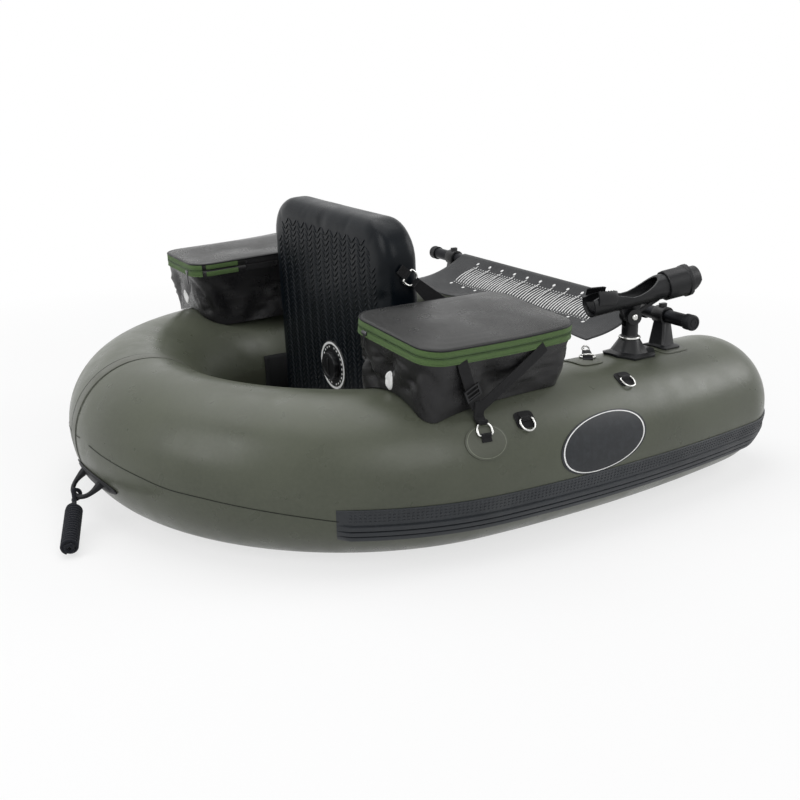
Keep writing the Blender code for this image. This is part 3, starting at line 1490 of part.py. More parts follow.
def build_bight(frame, look):
    """Rope loop that hangs the hank on the grip: out of the core, round the bar and back."""
    bow = grip_bow()
    down = (frame.to_3x3() @ Vector((0, 0, 1))).normalized()
    top = frame @ Vector((0, 0, -FIT))
    lift = (UP - down * UP.dot(down)).normalized()
    wrap = LOOP_BAR + ROPE_R + BIGHT_EASE
    foot = ROPE_R + ROPE_GAP
    out = Vector((-1, 0, 0))

    def round_bar(turn):
        return bow + out * (wrap * cos(turn)) + UP * (wrap * sin(turn))

    knots = [top + lift * foot, top - down * (2 * ROPE_R) + lift * foot]
    knots += [round_bar(radians(a)) for a in (70, 125, 180, 235, 290)]
    knots += [top - down * (2 * ROPE_R) - lift * foot, top - lift * foot]
    knots[2:7] = [k + Vector((0, BIGHT_SPREAD * (i - 2), 0)) for i, k in enumerate(knots[2:7])]
    route = [knots[0]]
    inner = knots[1:-1]
    last = len(inner) - 1
    for i in range(last):
        a, b = inner[max(i - 1, 0)], inner[i]
        c, d = inner[i + 1], inner[min(i + 2, last)]
        for k in range(2):
            t = k / 2
            route.append((b * 2 + (c - a) * t + (a * 2 - b * 5 + c * 4 - d) * t ** 2
                          + (b * 3 - a - c * 3 + d) * t ** 3) / 2)
    route += knots[-2:]
    round_wire("rope_bight", route, ROPE_R, 6, look, closed=False)


def least_gap(route, skip):
    """Least distance between points of a winding that are about a turn apart."""
    least = None
    for i in range(len(route)):
        for j in range(i + skip - 4, min(i + skip + 5, len(route))):
            apart = (route[i] - route[j]).length
            least = apart if least is None else min(least, apart)
    return least


def hull_valve_matrix():
    """Hull valve: on the right arm's inner side, Z out of the skin."""
    s = s_at(HULL_VALVE_X)
    angle = pi - HULL_VALVE_ANGLE
    point = hull_point(RIGHT, s, angle, HULL_VALVE_EASE)
    heading, outward = centre_line(RIGHT, s)[1:]
    normal = outward * cos(angle) + UP * sin(angle)
    return frame_matrix(point, heading, normal)


def centre_part():
    """Shift everything so that the box of all but the rope is centred over the origin."""
    bpy.context.view_layer.update()
    graph = bpy.context.evaluated_depsgraph_get()
    ends = []
    for item in bpy.data.objects:
        if not item.hide_render and not item.name.startswith("rope_"):
            shape = item.evaluated_get(graph)
            ends += [(shape.matrix_world @ Vector(corner)).x for corner in shape.bound_box]
    shift = -(min(ends) + max(ends)) / 2
    for item in bpy.data.objects:
        item.location.x += shift
    return shift


def main():
    clear_scene()
    olive = material("hull_pvc", (0.075, 0.085, 0.058), 0.38)
    slate = material("strake_rubber", (0.030, 0.034, 0.038), 0.55)
    black = material("black_plastic", (0.010, 0.010, 0.011), 0.45)
    anodised = material("bar_alloy", (0.018, 0.019, 0.021), 0.40, 0.6)
    mat_pvc = material("apron_pvc", (0.035, 0.036, 0.038), 0.50)
    cloth = material("bag_pvc", (0.030, 0.029, 0.031), 0.50)
    lid_look = material("bag_lid_pvc", (0.055, 0.055, 0.055), 0.42)
    steel = material("stainless", (0.62, 0.62, 0.60), 0.22, 1.0)
    webbing = material("webbing", (0.012, 0.012, 0.014), 0.85)
    pad_skin = material("pad_pvc", (0.070, 0.080, 0.055), 0.42)
    back_look = material("backrest_pvc", (0.008, 0.010, 0.014), 0.40)
    seat_look = material("seat_foam", (0.016, 0.017, 0.019), 0.70)
    rope_look = material("rope", (0.010, 0.012, 0.020), 0.90)

    build_hull(olive)
    for side in (RIGHT, LEFT):
        build_strake(side, slate)
        build_saddle(side, black)
        build_bag(side, cloth)
        build_lid(side, lid_look)
        build_slider(side, steel)
        build_bag_strap(side, webbing)
    build_crossbar(anodised, black)
    build_apron(mat_pvc)
    build_rings(steel, webbing, pad_skin)
    build_apron_ties(webbing, steel)
    build_rod_base(black)
    build_rod_post(black, steel)
    build_cradle(black, black)
    build_seat_sheet(mat_pvc)
    build_cushion(seat_look)
    build_backrest(back_look)
    build_back_rings(steel, webbing)
    valve_pair("backrest_valve", valve_matrix(), VALVE_FLANGE_R, VALVE_FLANGE_T, VALVE_NECK_R,
               VALVE_NECK_RISE, VALVE_CAP_R, VALVE_CAP_T, (black, black))
    valve_pair("hull_valve", hull_valve_matrix(), HULL_VALVE_R, HULL_VALVE_T, HULL_VALVE_NECK_R,
               HULL_VALVE_NECK, HULL_VALVE_CAP_R, HULL_VALVE_CAP_T, (black, black))
    build_handle(black)
    build_rope(rope_look)
    report_axes(centre_part())


def report_axes(shift):
    """Print each joint's axis, as the finished part has it."""
    axes = {
        "backrest": (back_pivot(), Vector((0, 1, 0))),
        "backrest_valve_cap": (valve_matrix().translation, valve_matrix().col[2].to_3d()),
        "hull_valve_cap": (hull_valve_matrix().translation, hull_valve_matrix().col[2].to_3d()),
        "rod_post": (rod_frame(), UP),
        "rod_cradle": (rod_pivot(), rod_heading().cross(UP)),
        "rod_collar": (cradle_matrix() @ Vector((0, 0, CRADLE_LIFT)), cradle_matrix().col[0].to_3d()),
    }
    for side in (RIGHT, LEFT):
        tail = "_" + SIDE_NAMES[side]
        bag = bag_matrix(side)
        axes["bag_lid" + tail] = (lid_hinge(side), bag.col[0].to_3d() * side)
        axes["bag_slider" + tail] = (bag.translation, bag.col[1].to_3d() * side)
        for name, x, angle, lie_angle in (spot[:4] for spot in ring_spots()[1:3]):
            lie = ring_axes(side, x, angle, lie_angle)
            lift = FIT + PAD_THICK + FIT + RING_WIRE
            axes[name + tail] = (lie @ Vector((0, 0, lift)), -lie.col[1].to_3d())
    for name, (point, along) in axes.items():
        place = point + Vector((shift, 0, 0))
        print(name, "axis at", [round(c, 5) for c in place], "along", [round(c, 5) for c in along])


main()
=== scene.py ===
# %% [markdown]
# A float tube is a one-person fishing boat: a U-shaped air tube with a seat between its arms.
# This lesson dresses its solid model in soft skins, cloth, webbing and rope.
# The solid model comes in first and stays where it is, so that every piece keeps its place.

import json
from math import acos, asin, cos, hypot, pi, radians, sin, sqrt

import bmesh
import bpy
from mathutils import Matrix, Vector, noise
from mathutils.bvhtree import BVHTree


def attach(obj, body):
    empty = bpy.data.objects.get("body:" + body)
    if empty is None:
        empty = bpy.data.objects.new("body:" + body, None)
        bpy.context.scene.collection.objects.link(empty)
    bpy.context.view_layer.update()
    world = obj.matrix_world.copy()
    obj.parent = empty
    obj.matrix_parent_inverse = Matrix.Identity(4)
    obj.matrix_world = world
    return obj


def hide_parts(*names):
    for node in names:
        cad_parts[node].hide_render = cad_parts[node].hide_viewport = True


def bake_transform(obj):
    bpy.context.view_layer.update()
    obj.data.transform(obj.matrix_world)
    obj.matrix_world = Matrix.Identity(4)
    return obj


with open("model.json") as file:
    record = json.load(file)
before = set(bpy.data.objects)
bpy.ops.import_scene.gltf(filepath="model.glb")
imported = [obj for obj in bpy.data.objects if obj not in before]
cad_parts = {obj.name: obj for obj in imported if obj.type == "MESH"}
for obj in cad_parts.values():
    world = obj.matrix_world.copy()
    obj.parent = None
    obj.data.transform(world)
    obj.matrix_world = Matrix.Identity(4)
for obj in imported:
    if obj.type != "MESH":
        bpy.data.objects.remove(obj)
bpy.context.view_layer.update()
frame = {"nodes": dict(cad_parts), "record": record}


def placed(name, data):
    """New object that holds the data, linked into the scene."""
    made = bpy.data.objects.new(name, data)
    bpy.context.scene.collection.objects.link(made)
    return made


# %% [markdown]
# The camera repeats the photograph's view: from beside the right arm, a little behind the
# stern and above it. Its place and lens were fitted to the outline, so they are numbers here.

# %% Camera
UP = Vector((0, 0, 1))
CAMERA_TURN = 0.53834
CAMERA_FALL = 0.28567
CAMERA_ROLL = -0.00624
CAMERA_PLACE = Vector((-1.4204, -2.4276, 0.9632))
FOCAL_PIXELS = 1335.8
IMAGE_PIXELS = 800
SENSOR = 36.0
FAR_END = 60


def add_camera():
    forward = Vector((sin(CAMERA_TURN) * cos(CAMERA_FALL), cos(CAMERA_TURN) * cos(CAMERA_FALL),
                      -sin(CAMERA_FALL)))
    level = Vector((cos(CAMERA_TURN), -sin(CAMERA_TURN), 0))
    upward = level.cross(forward)
    right = level * cos(CAMERA_ROLL) + upward * sin(CAMERA_ROLL)
    upward = upward * cos(CAMERA_ROLL) - level * sin(CAMERA_ROLL)
    data = bpy.data.cameras.new("camera")
    data.sensor_width = SENSOR
    data.lens = SENSOR * FOCAL_PIXELS / IMAGE_PIXELS
    data.clip_end = FAR_END
    camera = placed("camera", data)
    turn = Matrix((right, upward, -forward)).transposed().to_4x4()
    camera.matrix_world = Matrix.Translation(CAMERA_PLACE) @ turn
    bpy.context.scene.camera = camera
    return data.lens


print("lens %.1f mm" % add_camera())

# %% [markdown]
# Every skin and patch lies on the air tube, so the tube's form is written as functions first.
# A number s runs along it: 0 at the stern's middle, 1 where the bend ends, 2 at the dome of
# the tip, 3 at its end. An angle turns round the tube: 0 is outermost, 90 degrees the top.

# %% Form of the air tube
LEFT, RIGHT = 1, -1
SIDES = (("right", RIGHT), ("left", LEFT))
PART_SHIFT = 0.01478
HULL_LENGTH = 1.400
TUBE_R = 0.150
TIP_R = TUBE_R * 0.9467
TIP_DOME = TUBE_R
ARM_Y = 0.445
TIP_Y = 0.362
STERN_DEPTH = HULL_LENGTH * 0.3143
FLOOR_FLAT = 0.003
FIT = 0.0003
PLAN_STEPS = 60
STERN_X = PART_SHIFT - HULL_LENGTH / 2 + TUBE_R
BEND_X = STERN_X + STERN_DEPTH
END_X = PART_SHIFT + HULL_LENGTH / 2 - TIP_DOME
ARM_RUN = END_X - BEND_X
ARM_TOE = ARM_Y - TIP_Y


def centre_line(side, s):
    """Point, heading and outward direction of the tube's middle line."""
    if s <= 1:
        turn = s * pi / 2
        x, y = STERN_X + STERN_DEPTH * (1 - cos(turn)), ARM_Y * sin(turn)
        heading = Vector((STERN_DEPTH * sin(turn), ARM_Y * cos(turn)))
    else:
        run = min(s, 2) - 1
        x, y = BEND_X + run * ARM_RUN, ARM_Y - ARM_TOE * run * run
        heading = Vector((ARM_RUN, -2 * ARM_TOE * run))
    heading.normalize()
    if s > 2:
        beyond = TIP_DOME * sin((s - 2) * pi / 2)
        x, y = x + heading.x * beyond, y + heading.y * beyond
    return (Vector((x, side * y, 0)), Vector((heading.x, side * heading.y, 0)),
            Vector((-heading.y, side * heading.x, 0)))


def tube_radius(s):
    if s <= 1:
        return TUBE_R
    if s <= 2:
        return TUBE_R + (TIP_R - TUBE_R) * (s - 1) ** 2
    return TIP_R * cos((s - 2) * pi / 2)


def tube_height(s):
    return tube_radius(min(s, 2)) - FLOOR_FLAT


def hull_point(side, s, angle, offset=0.0):
    centre, heading, outward = centre_line(side, s)
    radial = outward * cos(angle) + UP * sin(angle)
    normal = radial
    if s > 2:
        turn = (s - 2) * pi / 2
        normal = (radial * cos(turn) / TIP_R + heading * sin(turn) / TIP_DOME).normalized()
    return centre + UP * tube_height(s) + radial * tube_radius(s) + normal * offset


def s_at(x):
    if x <= BEND_X:
        return acos(1 - (x - STERN_X) / STERN_DEPTH) * 2 / pi
    return 1 + (x - BEND_X) / ARM_RUN


def surface_axes(side, x, angle):
    """Point on the skin with its forward, upward and outward directions."""
    heading, outward = centre_line(side, s_at(x))[1:]
    normal = outward * cos(angle) + UP * sin(angle)
    around = UP * cos(angle) - outward * sin(angle)
    return hull_point(side, s_at(x), angle), heading, around, normal


def hull_top(x, y):
    """Height of the skin's upper face over a point in plan, or zero beside it."""
    side = LEFT if y > 0 else RIGHT
    stops = ((s, centre_line(side, s)[0])
             for s in (k / PLAN_STEPS for k in range(2 * PLAN_STEPS + 1)))
    reach, s = min((hypot(c.x - x, c.y - y), s) for s, c in stops)
    return tube_height(s) + sqrt(max(tube_radius(s) ** 2 - reach ** 2, 0))


print("bend ends at x = %.3f m, dome starts at x = %.3f m" % (BEND_X, END_X))

# %% [markdown]
# Most soft pieces are skins through rings of points, as a boat builder planks over frames.
# Two helpers do that: one lofts closed rings, and one lays an open sheet and gives it a
# thickness. Each point gets a UV, along and across, so that a weave can follow the cloth.

# %% Skins through rings
def smooth_object(name, mesh, sharp=40):
    """Object from a mesh whose faces point outwards, smooth but for its sharp edges."""
    shape = bmesh.new()
    shape.from_mesh(mesh)
    bmesh.ops.remove_doubles(shape, verts=shape.verts, dist=1e-6)
    bmesh.ops.recalc_face_normals(shape, faces=shape.faces)
    shape.to_mesh(mesh)
    shape.free()
    mesh.shade_smooth()
    mesh.set_sharp_from_angle(angle=radians(sharp))
    return placed(name, mesh)


def circle(count):
    """Angles of equal steps round a full turn."""
    return [2 * pi * k / count for k in range(count)]


def lengths_along(points):
    """Length of a line from its first point to each of its points."""
    total = [0.0]
    for a, b in zip(points, points[1:]):
        total.append(total[-1] + (b - a).length)
    return total


def skin(name, rings, sharp=40, loop=False, caps=True, ring_closed=True):
    """Quad skin through rings of equal count, with UVs in metres."""
    count = len(rings[0])
    points = [p for ring in rings for p in ring]
    mesh = bpy.data.meshes.new(name)
    faces, tags = [], []
    along = lengths_along([sum(ring, Vector()) / count for ring in rings])
    around = lengths_along(list(rings[0]) + [rings[0][0]])
    turns = len(rings) if loop else len(rings) - 1
    spans = count if ring_closed else count - 1
    for k in range(turns):
        m = (k + 1) % len(rings)
        for i in range(spans):
            j = (i + 1) % count
            faces.append((k * count + i, k * count + j, m * count + j, m * count + i))
            u0, u1 = along[k], along[k + 1] if k + 1 < len(along) else along[k] * 1.01
            tags.append(((u0, around[i]), (u0, around[i + 1]), (u1, around[i + 1]),
                         (u1, around[i])))
    if caps and not loop and ring_closed:
        for k in (0, len(rings) - 1):
            ring = list(range(k * count, (k + 1) * count))
            faces.append(tuple(ring))
            tags.append(tuple((along[k], around[i]) for i in range(count)))
    mesh.from_pydata([tuple(p) for p in points], [], faces)
    layer = mesh.uv_layers.new(name="cut")
    for face, tag in zip(mesh.polygons, tags):
        for corner, uv in zip(face.loop_indices, tag):
            layer.data[corner].uv = uv
    return smooth_object(name, mesh, sharp)


def plain_mesh(made):
    """The object's mesh with its modifiers applied; they are taken off the object."""
    graph = bpy.context.evaluated_depsgraph_get()
    mesh = bpy.data.meshes.new_from_object(made.evaluated_get(graph))
    made.modifiers.clear()
    return mesh


def finished(made, *modifiers):
    """Object with its modifiers applied, each given as (kind, settings)."""
    for kind, settings in modifiers:
        step = made.modifiers.new(kind, kind)
        for key, value in settings.items():
            setattr(step, key, value)
    made.data = plain_mesh(made)
    return made


def cloth_strip(name, rows, thick, sharp=40, offset=0.0):
    """Open sheet through rows of points, then thickened."""
    made = skin(name, rows, sharp, caps=False, ring_closed=False)
    return finished(made, ("SOLIDIFY", {"thickness": thick, "offset": offset}))


def frame_matrix(origin, x_dir, z_dir):
    """Place of a piece from its origin, its forward and its outward direction."""
    z = Vector(z_dir).normalized()
    x = Vector(x_dir)
    x = (x - z * x.dot(z)).normalized()
    turn = Matrix((x, z.cross(x), z)).transposed().to_4x4()
    return Matrix.Translation(origin) @ turn


def rounded_outline(half_x, half_y, corner, steps=8, straight=6):
    """Closed outline of a rounded rectangle, counted round from +X +Y."""
    outline = []
    corners = ((1, 1), (-1, 1), (-1, -1), (1, -1))
    for start, (sx, sy) in enumerate(corners):
        for k in range(steps + 1):
            a = (start + k / steps) * pi / 2
            outline.append(Vector((sx * (half_x - corner) + corner * cos(a),
                                   sy * (half_y - corner) + corner * sin(a))))
        here = outline[-1]
        nx, ny = corners[(start + 1) % 4]
        b = ((start + 1) % 4) * pi / 2
        there = Vector((nx * (half_x - corner) + corner * cos(b),
                        ny * (half_y - corner) + corner * sin(b)))
        outline += [here.lerp(there, k / straight) for k in range(1, straight)]
    return outline


def lathe(name, profile, matrix, sides=48, sharp=30, loop=False):
    """Turned shape from (radius, height) pairs; loop makes an open ring of the profile."""
    rings = [[matrix @ Vector((r * cos(a), r * sin(a), z)) for a in circle(sides)]
             for r, z in profile]
    return skin(name, rings, sharp, loop=loop)


def joined(name, *parts):
    """One object of several; each keeps its material."""
    shape = bmesh.new()
    mesh = bpy.data.meshes.new(name)
    for part in parts:
        for look in part.data.materials:
            if look.name not in [m.name for m in mesh.materials]:
                mesh.materials.append(look)
    names = [m.name for m in mesh.materials]
    for part in parts:
        first = len(shape.faces)
        shape.from_mesh(part.data)
        shape.faces.ensure_lookup_table()
        own = [names.index(m.name) for m in part.data.materials]
        for face in shape.faces[first:]:
            face.material_index = own[face.material_index] if own else 0
        bpy.data.objects.remove(part, do_unlink=True)
    shape.to_mesh(mesh)
    shape.free()
    return placed(name, mesh)


def wire(name, route, radius, sides=12, closed=True, sharp=60):
    """Round wire along a route; the section keeps its turn from point to point."""
    count = len(route)
    rings = []
    side_dir = None
    for k, point in enumerate(route):
        before = route[k - 1] if closed or k else route[k]
        after = route[(k + 1) % count] if closed or k < count - 1 else route[k]
        along = (after - before).normalized()
        if side_dir is None:
            side_dir = along.orthogonal().normalized()
        side_dir = (side_dir - along * side_dir.dot(along)).normalized()
        up_dir = along.cross(side_dir)
        size = radius[k] if isinstance(radius, (list, tuple)) else radius
        rings.append([point + side_dir * (size * cos(a)) + up_dir * (size * sin(a))
                      for a in circle(sides)])
    if closed:
        rings = matched(rings)
    return skin(name, rings, sharp, loop=closed)


def matched(rings):
    """Turns the last rings back so that a closed wire's sections meet."""
    count = len(rings[0])
    first, last = rings[0], rings[-1]
    spin = min(range(count), key=lambda n: sum((first[i] - last[(i + n) % count]).length
                                               for i in range(count)))
    return rings if spin == 0 else rings + [[last[(i + spin) % count] * 0.999
                                             + first[i] * 0.001 for i in range(count)]]


def smooth_route(knots, steps=8):
    """Points on a smooth curve through the knots."""
    route = []
    last = len(knots) - 1
    for i in range(last):
        a, b = knots[max(i - 1, 0)], knots[i]
        c, d = knots[i + 1], knots[min(i + 2, last)]
        for k in range(steps):
            t = k / steps
            route.append((b * 2 + (c - a) * t + (a * 2 - b * 5 + c * 4 - d) * t ** 2
                          + (b * 3 - a - c * 3 + d) * t ** 3) / 2)
    route.append(knots[-1])
    return route


print("helpers ready")

# %% [markdown]
# A finish is a small node tree: two close colours mixed by soft noise, a roughness that
# varies, and a height for the bump. Pictures of cloth could be wrapped on instead, but noise
# needs no files and shows no joins. The grain kinds stand for what the real skins show:
# pebbled vinyl, plain moulded plastic, woven cloth and drawn or cast metal.

# %% Finishes
class Finish:
    """Principled material whose nodes are added step by step."""

    def __init__(self, name, rough, metal=0.0, **uniform):
        self.made = bpy.data.materials.new(name)
        self.made.use_nodes = True
        self.tree = self.made.node_tree
        self.shader = self.tree.nodes["Principled BSDF"]
        for socket, value in {"Roughness": rough, "Metallic": metal, **uniform}.items():
            self.shader.inputs[socket.replace("_", " ")].default_value = value
        self.place = self.node("ShaderNodeTexCoord").outputs
        self.normal = None

    def node(self, kind, values=None, feeds=None, **settings):
        """Adds a node with its settings, its inputs' values and the links into it."""
        made = self.tree.nodes.new(kind)
        for key, value in settings.items():
            setattr(made, key, value)
        for socket, value in (values or {}).items():
            made.inputs[socket].default_value = value
        for socket, source in (feeds or {}).items():
            self.tree.links.new(source, made.inputs[socket])
        return made

    def noise(self, scale, detail=3.0, stretch=(1, 1, 1), rough=0.5):
        turn = self.node("ShaderNodeMapping", {"Scale": stretch}, {"Vector": self.place["Object"]})
        values = {"Scale": scale, "Detail": detail, "Roughness": rough}
        feeds = {"Vector": turn.outputs["Vector"]}
        return self.node("ShaderNodeTexNoise", values, feeds).outputs["Fac"]

    def cells(self, scale):
        feeds = {"Vector": self.place["Object"]}
        return self.node("ShaderNodeTexVoronoi", {"Scale": scale}, feeds).outputs["Distance"]

    def waves(self, scale, along="X", turn=0.0):
        turned = self.node("ShaderNodeMapping", {"Rotation": (0, 0, turn)},
                           {"Vector": self.place["UV"]})
        made = self.node("ShaderNodeTexWave", {"Scale": scale, "Distortion": 0, "Detail": 0},
                         {"Vector": turned.outputs["Vector"]}, bands_direction=along)
        return made.outputs["Fac"]

    def spread(self, value, low, high, out_low=0.0, out_high=1.0):
        values = {"From Min": low, "From Max": high, "To Min": out_low, "To Max": out_high}
        return self.node("ShaderNodeMapRange", values, {"Value": value}).outputs["Result"]

    def maths(self, work, a, b):
        values = {k: v for k, v in enumerate((a, b)) if isinstance(v, (int, float))}
        feeds = {k: v for k, v in enumerate((a, b)) if k not in values}
        return self.node("ShaderNodeMath", values, feeds, operation=work).outputs["Value"]

    def mix(self, share, a, b):
        values = {k: (*v, 1) for k, v in ((6, a), (7, b)) if isinstance(v, tuple)}
        feeds = {k: v for k, v in (("Factor", share), (6, a), (7, b)) if k not in values}
        return self.node("ShaderNodeMix", values, feeds, data_type="RGBA").outputs[2]

    def colour(self, value):
        self.tree.links.new(value, self.shader.inputs["Base Color"])

    def roughness(self, value, low, high):
        self.tree.links.new(self.spread(value, 0.3, 0.7, low, high),
                            self.shader.inputs["Roughness"])

    def bump(self, height, distance, strength=1.0):
        feeds = {"Height": height}
        if self.normal is not None:
            feeds["Normal"] = self.normal
        values = {"Distance": distance, "Strength": strength}
        self.normal = self.node("ShaderNodeBump", values, feeds).outputs["Normal"]
        self.tree.links.new(self.normal, self.shader.inputs["Normal"])


def tint(colour, grow):
    """The colour made lighter or darker, kept in range."""
    return tuple(min(c * grow, 1) for c in colour)


def vinyl(name, colour, rough, pebble=1400.0, depth=0.00006, vary=0.12, dust=None, shine=0.5):
    """Coated cloth: pebbled, a little uneven in colour, dusty in the hollows."""
    made = Finish(name, rough, Specular_IOR_Level=shine)
    blotch = made.spread(made.noise(5.0, 5), 0.35, 0.65)
    fine = made.spread(made.noise(140.0, 3), 0.3, 0.7)
    base = made.mix(blotch, tint(colour, 1 - vary), tint(colour, 1 + vary))
    base = made.mix(made.maths("MULTIPLY", fine, 0.35), base, tint(colour, 1 + 2 * vary))
    if dust:
        settled = made.spread(made.noise(14.0, 6, rough=0.65), 0.56, 0.8, 0, 0.35)
        base = made.mix(settled, base, dust)
    made.colour(base)
    made.roughness(made.noise(22.0, 4), rough - 0.05, rough + 0.07)
    made.bump(made.noise(26.0, 4), 0.0006, 0.25)
    made.bump(made.cells(pebble), depth, 0.8)
    return made.made


def plastic(name, colour, rough, grain=900.0, depth=0.00005, vary=0.25, shine=0.3):
    """Moulded plastic: fine spark grain, rubbed lighter in places."""
    made = Finish(name, rough, Specular_IOR_Level=shine)
    worn = made.spread(made.noise(60.0, 5, rough=0.7), 0.45, 0.8)
    made.colour(made.mix(worn, colour, tint(colour, 1 + 3 * vary)))
    made.roughness(made.noise(35.0, 4), rough - 0.08, rough + 0.08)
    made.bump(made.noise(grain, 2), depth, 0.7)
    return made.made


def webbing(name, colour, pitch=0.0022, depth=0.0005):
    """Flat woven strap: slanting ribs across its width, from the piece's own UVs."""
    made = Finish(name, 0.82, Sheen_Weight=0.10, Sheen_Roughness=0.5, Specular_IOR_Level=0.2)
    scale = 1 / pitch
    rib = made.waves(scale * 0.32, "X", turn=0.6)
    fill = made.waves(scale * 0.32, "X", turn=-0.6)
    weave = made.maths("MULTIPLY", rib, fill)
    fuzz = made.noise(900.0, 2)
    made.colour(made.mix(made.maths("MULTIPLY", weave, made.spread(fuzz, 0.2, 0.8, 0.5, 1.2)),
                         tint(colour, 0.55), tint(colour, 1.9)))
    made.bump(weave, depth, 0.9)
    made.bump(fuzz, 0.0001, 0.5)
    return made.made


def metal(name, colour, rough, stretch=(1, 1, 1), depth=0.00003):
    """Polished or brushed metal with faint rubbing marks."""
    made = Finish(name, rough, 1.0)
    marks = made.noise(240.0, 5, stretch, rough=0.7)
    made.colour(made.mix(made.spread(marks, 0.35, 0.75), colour, tint(colour, 0.78)))
    made.roughness(made.noise(70.0, 5, stretch), rough * 0.75, rough * 1.5)
    made.bump(marks, depth, 0.5)
    return made.made


def woven_cloth(name, colour, rough, pitch=0.0011, depth=0.00016, sheen=0.03, shine=0.35):
    """Coated weave: two crossing thread waves under a thin coat."""
    made = Finish(name, rough, Sheen_Weight=sheen, Specular_IOR_Level=shine)
    scale = 0.314 / pitch
    cross = made.maths("ADD", made.waves(scale, "X"), made.waves(scale, "Y"))
    weave = made.spread(cross, 0.3, 1.7)
    blotch = made.spread(made.noise(9.0, 5), 0.35, 0.68)
    base = made.mix(blotch, tint(colour, 0.82), tint(colour, 1.2))
    made.colour(made.mix(made.maths("MULTIPLY", weave, 0.3), base, tint(colour, 1.6)))
    made.roughness(made.noise(18.0, 4), rough - 0.06, rough + 0.08)
    made.bump(made.noise(40.0, 3), 0.0005, 0.3)
    made.bump(weave, depth, 0.7)
    return made.made


def paint(made, look):
    made.data.materials.clear()
    made.data.materials.append(look)
    return made


OLIVE = (0.076, 0.083, 0.060)
hull_look = vinyl("hull_vinyl", OLIVE, 0.31, dust=(0.098, 0.104, 0.083), shine=0.30)
tape_look = vinyl("seam_tape_vinyl", (0.054, 0.058, 0.040), 0.38, pebble=1800)
pad_look = vinyl("patch_vinyl", (0.056, 0.061, 0.042), 0.36, pebble=1700)
# The seam groove lines are near-black: painted shade standing in for the shade inside the grooves.
groove_shade_look = vinyl("seam_groove_painted_shade", (0.014, 0.016, 0.012), 0.55, pebble=1800, shine=0.2)
strake_look = vinyl("strake_rubber", (0.018, 0.021, 0.025), 0.50, pebble=2200, vary=0.2,
                    dust=(0.05, 0.054, 0.055), shine=0.4)
back_look = vinyl("backrest_vinyl", (0.0018, 0.0034, 0.0054), 0.31, pebble=1500, shine=0.14)
bag_look = woven_cloth("bag_coated_cloth", (0.0058, 0.0056, 0.0064), 0.27, shine=0.34)
lid_look = woven_cloth("lid_coated_cloth", (0.0110, 0.0112, 0.0108), 0.30, shine=0.20)
apron_look = woven_cloth("apron_coated_cloth", (0.013, 0.014, 0.0155), 0.42, shine=0.22)
# Seat cloth: black, and darker still as painted shade, so that the sheet reads as shadow where it
# runs up the arms' inner sides. The cushion uses it too.
seat_and_shade_look = woven_cloth("seat_cloth_painted_shade", (0.006, 0.0065, 0.007), 0.55, shine=0.15)
piping_look = plastic("black_piping", (0.005, 0.005, 0.006), 0.42, shine=0.2)
zip_look = webbing("green_zip_tape", (0.098, 0.166, 0.058), pitch=0.0016, depth=0.0003)
teeth_look = plastic("zip_teeth", (0.040, 0.075, 0.026), 0.35)
strap_look = webbing("black_webbing", (0.0060, 0.0060, 0.0070))
black_look = plastic("black_plastic", (0.0075, 0.0078, 0.0088), 0.38, shine=0.28)
rubber_look = plastic("black_rubber", (0.0075, 0.0080, 0.0095), 0.50, grain=700, shine=0.22)
bar_look = metal("dark_alloy", (0.022, 0.023, 0.026), 0.42, stretch=(1, 0.05, 1))
steel_look = metal("stainless_steel", (0.62, 0.62, 0.60), 0.20)
white_look = plastic("white_print", (0.90, 0.90, 0.89), 0.45, grain=1200, vary=0.02)
badge_look = plastic("charcoal_badge", (0.018, 0.020, 0.023), 0.42, grain=1500)
thread_look = webbing("seam_thread", (0.020, 0.020, 0.020), pitch=0.0010, depth=0.0002)
tape_edge_look = vinyl("glue_edge", (0.15, 0.165, 0.12), 0.45, pebble=1800)
steel_dark_look = metal("slider_metal", (0.10, 0.10, 0.105), 0.35)
print("finishes:", len(bpy.data.materials))

# %% [markdown]
# Stitches, zip teeth, ribs, pressed dashes and printed dots all repeat one small shape along
# a line. An Array modifier would repeat it too, but not stand it on a curved skin. One
# Geometry Nodes tree does: it resamples the line by a spacing, stands a rounded block on each
# point, turned along the line, and leaves plain faces with a material.

# %% Repeats along a line
SIZES = (("Spacing", 0.005), ("Long", 0.003), ("Wide", 0.001), ("High", 0.001), ("Lift", 0.0),
         ("Slant", 0.0))
NODES = {
    "line": ("NodeGroupInput", {}),
    "curve": ("GeometryNodeMeshToCurve", {}),
    "upright": ("GeometryNodeInputNamedAttribute", {"data_type": "FLOAT_VECTOR"}),
    "stops": ("GeometryNodeResampleCurve", {"mode": "LENGTH"}),
    "tangent": ("GeometryNodeInputTangent", {}),
    "ahead": ("FunctionNodeAlignEulerToVector", {"axis": "X"}),
    "up": ("FunctionNodeAlignEulerToVector", {"axis": "Z", "pivot_axis": "X"}),
    "size": ("ShaderNodeCombineXYZ", {}),
    "block": ("GeometryNodeMeshCube", {}),
    "soften": ("GeometryNodeSubdivisionSurface", {}),
    "lean": ("FunctionNodeAxisAngleToRotation", {}),
    "spin": ("FunctionNodeRotateRotation", {"rotation_space": "LOCAL"}),
    "lift": ("ShaderNodeVectorMath", {"operation": "SCALE"}),
    "shift": ("GeometryNodeSetPosition", {}),
    "stand": ("GeometryNodeInstanceOnPoints", {}),
    "real": ("GeometryNodeRealizeInstances", {}),
    "paint": ("GeometryNodeSetMaterial", {}),
    "out": ("NodeGroupOutput", {}),
}
